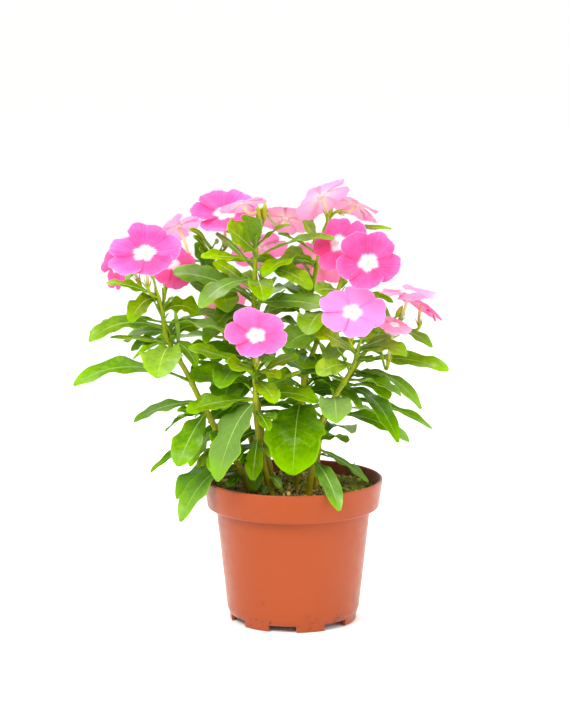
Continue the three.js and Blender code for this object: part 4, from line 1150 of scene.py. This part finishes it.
def add_petal(skin, bloom, k):
    """One rounded petal: it lies over the next on one side and under the last on the other."""
    radius = bloom.radius
    seed = bloom.twist * 0.37 + k * 1.9
    size = 1 + 0.05 * math.sin(1.3 * seed + 0.5)
    middle = math.radians(bloom.twist + 360 / PETALS * k + 5 + 3 * math.sin(2.1 * seed))
    nod = math.sin(GOLDEN_ANGLE * (k + bloom.twist)) * 0.05 * radius
    s = np.concatenate([np.linspace(0, 0.7, 13), np.linspace(0.75, 1, 9)])[:, None]
    across = np.linspace(-1, 1, 31)
    frill = 0.026 * np.sin(3.1 * across + seed) + 0.015 * np.sin(8.3 * across + 2 * seed)
    frill = frill + 0.007 * np.sin(17.9 * across + 3 * seed) + 0.004 * np.sin(29 * across + 5 * seed)
    lobe = size * (1.08 - 0.26 * np.abs(across) ** 3.2 + 0.03 * across + frill)
    out = HUB_RADIUS + (radius * lobe - HUB_RADIUS) * s
    turn = middle + across * math.radians(PETAL_HALF_ANGLE)
    aside = out * np.sin(turn - middle)
    rise = (bloom.cup + nod) * s ** 2 + PETAL_TILT * np.minimum(1, 3 * s) * aside
    rise = rise + 0.03 * radius * np.sin(4.2 * across + seed) * s ** 3
    rise = rise + 0.02 * radius * np.sin(9.1 * across + 3 * seed) * s ** 4
    rise = rise + 0.007 * radius * np.sin(19.3 * across + 2 * seed + 2.5 * s) * s ** 2
    rise = rise - 0.03 * radius * (1 - np.abs(across)) ** 2 * np.sin(np.pi * s)
    flat_x, flat_y = out * np.cos(turn), out * np.sin(turn)
    grid = (bloom.centre + flat_x[..., None] * bloom.right + flat_y[..., None] * bloom.above
            + rise[..., None] * bloom.ahead)
    normal = unit(np.cross(np.gradient(grid, axis=1), np.gradient(grid, axis=0)))
    normal = normal * np.sign(np.sum(normal * bloom.ahead, -1, keepdims=True) + 1e-9)
    add_blade(skin, grid, normal, 0.28 - 0.16 * s, reach=out / radius, edge=s, across=across,
              petal=k + 0.1 * bloom.twist, pale=BLOOM_TINTS.get(bloom.name, 0))


def add_throat(skin, bloom):
    """The small funnel at the middle, with its raised ring, over the slender tube down to the calyx."""
    sides = 20
    turns = all_round(sides)
    rounds = np.cos(turns)[:, None] * bloom.right + np.sin(turns)[:, None] * bloom.above
    rows = [bloom.centre + z * bloom.ahead + r * rounds for r, z in THROAT_PROFILE]
    reach = np.repeat([r / bloom.radius for r, _ in THROAT_PROFILE], sides)
    row = np.repeat(np.arange(len(rows)), sides)
    skin.add(np.stack(rows), grid_faces(len(rows), sides, closed=True), reach=reach,
             throat=row < THROAT_DEEP_ROWS, under=row >= THROAT_FRONT_ROWS)
    end = bloom.foot + unit(bloom.behind - bloom.foot) * 0.35
    t = np.linspace(0, 1, 22)
    path = bezier(t, bloom.centre, bloom.behind, end)
    radii = 1.2 + 0.5 * np.exp(-((t - 0.14) / 0.09) ** 2) - 0.15 * smooth(t, 0.2, 0.6)
    add_rod(skin, path[1:], radii[1:], 14, tube=1.0, under=1.0, reach=t[1:])


def petal_finish(name, settings, main, deep, edge):
    """Petals: a white eye with a yellow dot, a deep ring, fine rays, paler edges and paler undersides."""
    paint = Finish(name)
    reach, across, petal = paint.painted("reach"), paint.painted("across"), paint.painted("petal")
    under, pale, side = paint.painted("under"), paint.painted("pale"), paint.math("ABSOLUTE", across)
    paint.colour = paint.ramp(reach, (0.26, deep), (0.55, main), (0.78, main), (1.06, edge))
    paint.lay(paint.patches(38, 2, 0.45, 0.68, 0.0, 0.5), deep)
    angle = paint.plus(paint.times(across, 14.0), paint.times(petal, 7.3))
    spot = paint.node("ShaderNodeCombineXYZ", {0: angle, 1: paint.times(reach, 0.8)}).outputs[0]
    line, thread = paint.rays(spot, 0.62, 4.0), paint.rays(spot, 1.7, 2.0)
    streak = paint.times(paint.between(line, 0.45, 0.7), paint.between(reach, 0.2, 0.95, 0.6, 0.2))
    paint.lay(streak, deep)
    paint.lay(paint.between(line, 0.5, 0.3, 0.0, 0.35), edge)
    paint.lay(paint.patches(70, 3, 0.4, 0.7, 0.0, 0.35), edge)
    paint.lay(paint.between(thread, 0.5, 0.68, 0.0, 0.4), deep)
    paint.lay(paint.between(thread, 0.48, 0.32, 0.0, 0.4), edge)
    change = paint.math("SINE", paint.times(petal, 2.4))
    paint.lay(paint.between(change, -0.2, 1.0, 0.0, 0.3), deep)
    paint.lay(paint.times(pale, 0.9), srgb(250, 172, 236))
    # Painted shade: the petals' sides darker near the middle, where they overlap
    painted_overlap_shade = paint.times(paint.between(side, 0.72, 1.0), paint.between(reach, 0.9, 0.3, 0.0, 0.4))
    paint.lay(painted_overlap_shade, deep)
    paint.lay(paint.between(paint.painted("edge"), 0.96, 1.0, 0.0, 0.4), srgb(255, 214, 246))
    lobe = paint.minus(settings.eye_size, paint.times(side, 0.07))
    frayed = paint.plus(lobe, paint.times(paint.minus(line, 0.5), 0.24))
    paint.lay(paint.between(paint.minus(reach, frayed), -0.07, 0.08, 1.0, 0.0), srgb(255, 252, 254))
    paint.lay(paint.between(reach, 0.02, 0.07, 0.8, 0.0), srgb(246, 242, 140))
    paint.lay(paint.times(paint.painted("throat"), 0.35), srgb(214, 210, 80))
    back = paint.mix(paint.between(reach, 0.15, 0.8), srgb(255, 232, 222), opaque(settings.under_colour))
    back = paint.mix(paint.times(streak, 0.35), back, main)
    back = paint.mix(paint.between(reach, 0.55, 1.05, 0.0, 0.6), back, srgb(248, 140, 200))
    back = paint.mix(paint.times(pale, 0.75), back, srgb(254, 216, 246))
    paint.lay(under, back)
    tube_colour = paint.ramp(reach, (0.0, srgb(250, 206, 196)), (0.45, srgb(226, 222, 150)),
                             (1.0, srgb(172, 200, 84)))
    paint.lay(paint.painted("tube"), tube_colour)
    normal = paint.bump(paint.plus(line, thread), 0.25, 0.0004)
    glow = paint.mix(0.5, paint.colour, edge)
    glow = paint.mix(paint.times(under, 0.6), glow, srgb(255, 238, 248))
    return paint.shade(settings.light_through, glow, Roughness=settings.roughness, Normal=normal,
                       Specular_IOR_Level=0.25, IOR=1.4, Sheen_Weight=0.3, Sheen_Roughness=0.4)


# The stage

# The floor's half size and how far under the pot it lies, in metres
FLOOR_HALF_SIZE = 30.0
FLOOR_HEIGHT = -0.0002

# Each lamp's place from the pot's foot and its width, and the height that all of them aim at, in metres
LAMPS = {"key": ((-0.75, -1.0, 1.25), 0.7), "fill": ((1.1, -0.8, 0.7), 0.9), "above": ((0.1, 0.6, 1.4), 0.8)}
LAMP_AIM = 0.16

# The camera's place from the pot's foot in metres, the degrees that it looks down, and its lens and
# sensor in millimetres
CAMERA_PLACE = (-0.0055, -1.57, 0.436)
CAMERA_DOWN = 9.4
LENS = 120.0
SENSOR = 36.0


# What a user can change

def colour_property(name, description, colour):
    return bpy.props.FloatVectorProperty(
        name=name, description=description, subtype="COLOR", size=3, min=0, max=1, default=colour[:3])


def length_property(name, description, length):
    return bpy.props.FloatProperty(name=name, description=description, unit="LENGTH", min=0, default=length)


def share_property(name, description, share):
    return bpy.props.FloatProperty(
        name=name, description=description, subtype="FACTOR", min=0, max=1, default=share)


def power_property(name, description, watts):
    return bpy.props.FloatProperty(name=name, description=description, unit="POWER", min=0, default=watts)


def count_property(name, description, count):
    return bpy.props.IntProperty(name=name, description=description, min=0, default=count)


class PotSettings(bpy.types.PropertyGroup):
    rim_radius: length_property(
        "Rim radius", "Outer radius of the pot at its rim", (POT_HIGH.x - POT_LOW.x) / 2)
    height: length_property("Height", "Height of the pot from its foot to its rim", POT_HIGH.z - POT_LOW.z)
    band_height: length_property("Band height", "Height of the band round the rim", 0.0195)
    wall: length_property("Wall", "Thickness of the pot's wall", 0.0017)
    colour: colour_property("Colour", "Colour of the moulded plastic", srgb(149, 61, 13))
    roughness: share_property("Roughness", "How matt the plastic is", 0.42)
    dirt: share_property("Dirt", "How much soil has splashed on the foot", 0.85)


class SoilSettings(bpy.types.PropertyGroup):
    colour: colour_property("Colour", "Colour of the damp soil", srgb(76, 62, 34))
    crumbs: count_property("Crumbs", "How many loose crumbs lie on top", 900)
    straws: count_property("Straws", "How many bits of straw lie on top", 240)
    moss_tufts: count_property("Moss tufts", "How many tufts of moss grow", 110)


class LeafSettings(bpy.types.PropertyGroup):
    colour: colour_property("Stem colour", "Colour of the stems at their middle", srgb(148, 158, 6))
    vein_colour: colour_property("Vein colour", "Colour of the midrib and veins", srgb(186, 218, 116))
    roughness: share_property("Roughness", "How matt the leaves are", 0.4)
    light_through: share_property("Light through", "Share of light that comes through a blade", 0.3)


class BloomSettings(bpy.types.PropertyGroup):
    pink: colour_property("Pink", "Main colour of the lilac-pink blooms", srgb(243, 80, 176))
    deep: colour_property("Deep pink", "Main colour of the deep pink blooms", srgb(244, 82, 152))
    pale: colour_property("Pale pink", "Main colour of the pale blooms", srgb(252, 168, 212))
    ring: colour_property("Ring", "Colour of the ring outside the eye", srgb(240, 54, 130))
    edge: colour_property("Edge", "Colour of the petals' edges", srgb(250, 134, 208))
    under_colour: colour_property("Underside", "Colour of the petals' undersides", srgb(252, 196, 228))
    eye_size: share_property("Eye size", "Reach of the white eye, as a share of the bloom's radius", 0.33)
    roughness: share_property("Roughness", "How matt the petals are", 0.6)
    light_through: share_property("Light through", "Share of light that comes through a petal", 0.5)


class StageSettings(bpy.types.PropertyGroup):
    floor_colour: colour_property("Floor", "Colour of the floor", srgb(248, 248, 247))
    daylight: bpy.props.FloatProperty(
        name="Daylight", description="Strength of the even light all round", min=0, default=1.06)
    key: power_property("Key lamp", "Power of the main lamp", 26.0)
    fill: power_property("Fill lamp", "Power of the lamp on the other side", 9.0)
    above: power_property("Top lamp", "Power of the lamp above and behind", 14.0)


class PERIWINKLE_OT_pot(bpy.types.Operator):
    """Make the nursery pot with its banded rim, slotted foot and drain holes"""
    bl_idname = "periwinkle.make_pot"
    bl_label = "Make pot"

    def execute(self, context):
        settings = context.scene.periwinkle_pot
        pot = pot_mesh(settings).piece("nursery_pot", pot_finish(settings), "pot", ["pot"])
        shell = bmesh.new()
        shell.from_mesh(pot.data)
        bmesh.ops.remove_doubles(shell, verts=shell.verts, dist=WELD_REACH)
        bmesh.ops.recalc_face_normals(shell, faces=shell.faces)
        shell.to_mesh(pot.data)
        shell.free()
        drill_drains(pot)
        pot.data.set_sharp_from_angle(angle=math.radians(SHARP_FROM))
        return {"FINISHED"}


class PERIWINKLE_OT_soil(bpy.types.Operator):
    """Fill the pot with crumbly soil, straw, moss and a twig"""
    bl_idname = "periwinkle.make_soil"
    bl_label = "Make soil"

    def execute(self, context):
        settings = context.scene.periwinkle_soil
        soil_skin(settings).piece("potting_soil", soil_finish(settings), "soil", ["soil"])
        litter_skin(settings).piece("soil_litter", litter_finish(), "soil")
        return {"FINISHED"}


class PERIWINKLE_OT_stems(bpy.types.Operator):
    """Grow the leafy stems with their flower stalks and calyxes"""
    bl_idname = "periwinkle.make_stems"
    bl_label = "Make leafy stems"

    def execute(self, context):
        settings = context.scene.periwinkle_leaf
        bark, green = stem_finish(settings), leaf_finish(settings)
        leaves = placed_leaves()
        if len(leaves) < FEWEST_LEAVES:
            raise RuntimeError("the leaves don't match the packed stems")
        slight = leaves_from(SMALL_LEAVES) + axil_leaves(leaves)
        blooms = [Bloom(*row) for row in BLOOMS]
        for name in STEMS:
            own = [leaf for leaf in leaves if leaf.stem == name]
            blades = Skin("along", "across", "tone", "pale", "age", "under", "wide")
            for leaf in own:
                add_leaf(blades, leaf, leaves.index(leaf), leaf_age(leaf))
            for i, leaf in enumerate(slight):
                if leaf.stem == name:
                    small = leaf.width < SLIGHT_WIDTH
                    young = small and leaf.root[2] > SOIL_TOP + YOUNG_ABOVE
                    age = 0.4 + 0.6 * leaf_age(leaf) if young else leaf_age(leaf)
                    add_leaf(blades, leaf, SMALL_FROM + i, age, small=small)
            blades.piece(f"leaves_{name}", green, "leaf", ["stem_" + name])
            stalks = Skin("along")
            add_stem(stalks, name, own)
            for bloom in blooms:
                if bloom.stem == name:
                    add_stalk(stalks, bloom)
            for bud in BUDS:
                if bud[0] == name:
                    add_bud(stalks, bud)
            stalks.piece(f"stem_and_stalks_{name}", bark, "leaf", ["stem_" + name])
        return {"FINISHED"}


class PERIWINKLE_OT_blooms(bpy.types.Operator):
    """Open the five-petalled blooms with their eyes and tubes"""
    bl_idname = "periwinkle.make_blooms"
    bl_label = "Make blooms"

    def execute(self, context):
        settings = context.scene.periwinkle_bloom
        ring, edge = opaque(settings.ring), opaque(settings.edge)
        finishes = {
            "pink": petal_finish("lilac_pink_petals", settings, opaque(settings.pink), ring, edge),
            "deep": petal_finish("deep_pink_petals", settings, opaque(settings.deep), ring,
                                 srgb(250, 118, 190)),
            "pale": petal_finish("pale_pink_petals", settings, opaque(settings.pale),
                                 srgb(248, 120, 176), srgb(255, 204, 232)),
        }
        for row in BLOOMS:
            bloom = Bloom(*row)
            skin = Skin("reach", "edge", "across", "petal", "pale", "under", "throat", "tube")
            for k in range(PETALS):
                add_petal(skin, bloom, k)
            add_throat(skin, bloom)
            skin.piece("petals_" + bloom.name, finishes[bloom.colour], "petal_" + bloom.colour,
                       [bloom.name])
        return {"FINISHED"}


class PERIWINKLE_OT_stage(bpy.types.Operator):
    """Set the pale floor, the soft studio light and the camera"""
    bl_idname = "periwinkle.make_stage"
    bl_label = "Make stage"

    def execute(self, context):
        settings = context.scene.periwinkle_stage
        scene = context.scene
        scene.view_settings.view_transform = "Standard"
        world = bpy.data.worlds.new("even daylight")
        scene.world = world
        world.use_nodes = True
        sky = world.node_tree.nodes["Background"]
        sky.inputs["Color"].default_value = (1, 1, 1, 1)
        sky.inputs["Strength"].default_value = settings.daylight
        corners = [(x * FLOOR_HALF_SIZE, y * FLOOR_HALF_SIZE, 0)
                   for x, y in ((-1, -1), (1, -1), (1, 1), (-1, 1))]
        mesh = bpy.data.meshes.new("floor")
        mesh.from_pydata(corners, [], [(0, 1, 2, 3)])
        floor = bpy.data.objects.new("floor", mesh)
        floor.location.z = FLOOR_HEIGHT
        mesh.materials.append(Finish("pale_floor", opaque(settings.floor_colour)).shade(Roughness=0.6))
        scene.collection.objects.link(floor)
        middle = Vector(POT_MIDDLE)
        for name, (place, width) in LAMPS.items():
            lamp = bpy.data.lights.new(name, "AREA")
            lamp.energy = getattr(settings, name)
            lamp.size = width
            holder = bpy.data.objects.new(name, lamp)
            holder.location = middle + Vector(place)
            aim = middle + Vector((0, 0, LAMP_AIM)) - holder.location
            holder.rotation_mode = "QUATERNION"
            holder.rotation_quaternion = aim.to_track_quat("-Z", "Y")
            scene.collection.objects.link(holder)
        camera = bpy.data.cameras.new("camera")
        camera.lens = LENS
        camera.sensor_width = SENSOR
        camera.clip_end = 200.0
        eye = bpy.data.objects.new("camera", camera)
        eye.location = middle + Vector(CAMERA_PLACE)
        eye.rotation_euler = (math.radians(90 - CAMERA_DOWN), 0, 0)
        scene.collection.objects.link(eye)
        scene.camera = eye
        return {"FINISHED"}


OPERATORS = (PERIWINKLE_OT_pot, PERIWINKLE_OT_soil, PERIWINKLE_OT_stems, PERIWINKLE_OT_blooms,
             PERIWINKLE_OT_stage)
SETTINGS = {
    "periwinkle_pot": PotSettings,
    "periwinkle_soil": SoilSettings,
    "periwinkle_leaf": LeafSettings,
    "periwinkle_bloom": BloomSettings,
    "periwinkle_stage": StageSettings,
}


class PERIWINKLE_PT_panel(bpy.types.Panel):
    """Lists the plant's settings and the buttons that make its pieces"""
    bl_label = "Periwinkle"
    bl_space_type = "VIEW_3D"
    bl_region_type = "UI"
    bl_category = "Periwinkle"

    def draw(self, context):
        for operator, (place, kind) in zip(OPERATORS, SETTINGS.items()):
            box = self.layout.box()
            for name in kind.__annotations__:
                box.prop(getattr(context.scene, place), name)
            box.operator(operator.bl_idname)


CLASSES = (*SETTINGS.values(), *OPERATORS, PERIWINKLE_PT_panel)


def register():
    for each in CLASSES:
        bpy.utils.register_class(each)
    for place, kind in SETTINGS.items():
        setattr(bpy.types.Scene, place, bpy.props.PointerProperty(type=kind))


def unregister():
    for place in SETTINGS:
        delattr(bpy.types.Scene, place)
    for each in reversed(CLASSES):
        bpy.utils.unregister_class(each)


def main():
    register()
    bpy.ops.periwinkle.make_pot()
    bpy.ops.periwinkle.make_soil()
    bpy.ops.periwinkle.make_stems()
    bpy.ops.periwinkle.make_blooms()
    bpy.ops.periwinkle.make_stage()
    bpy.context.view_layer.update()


if __name__ == "__main__":
    main()
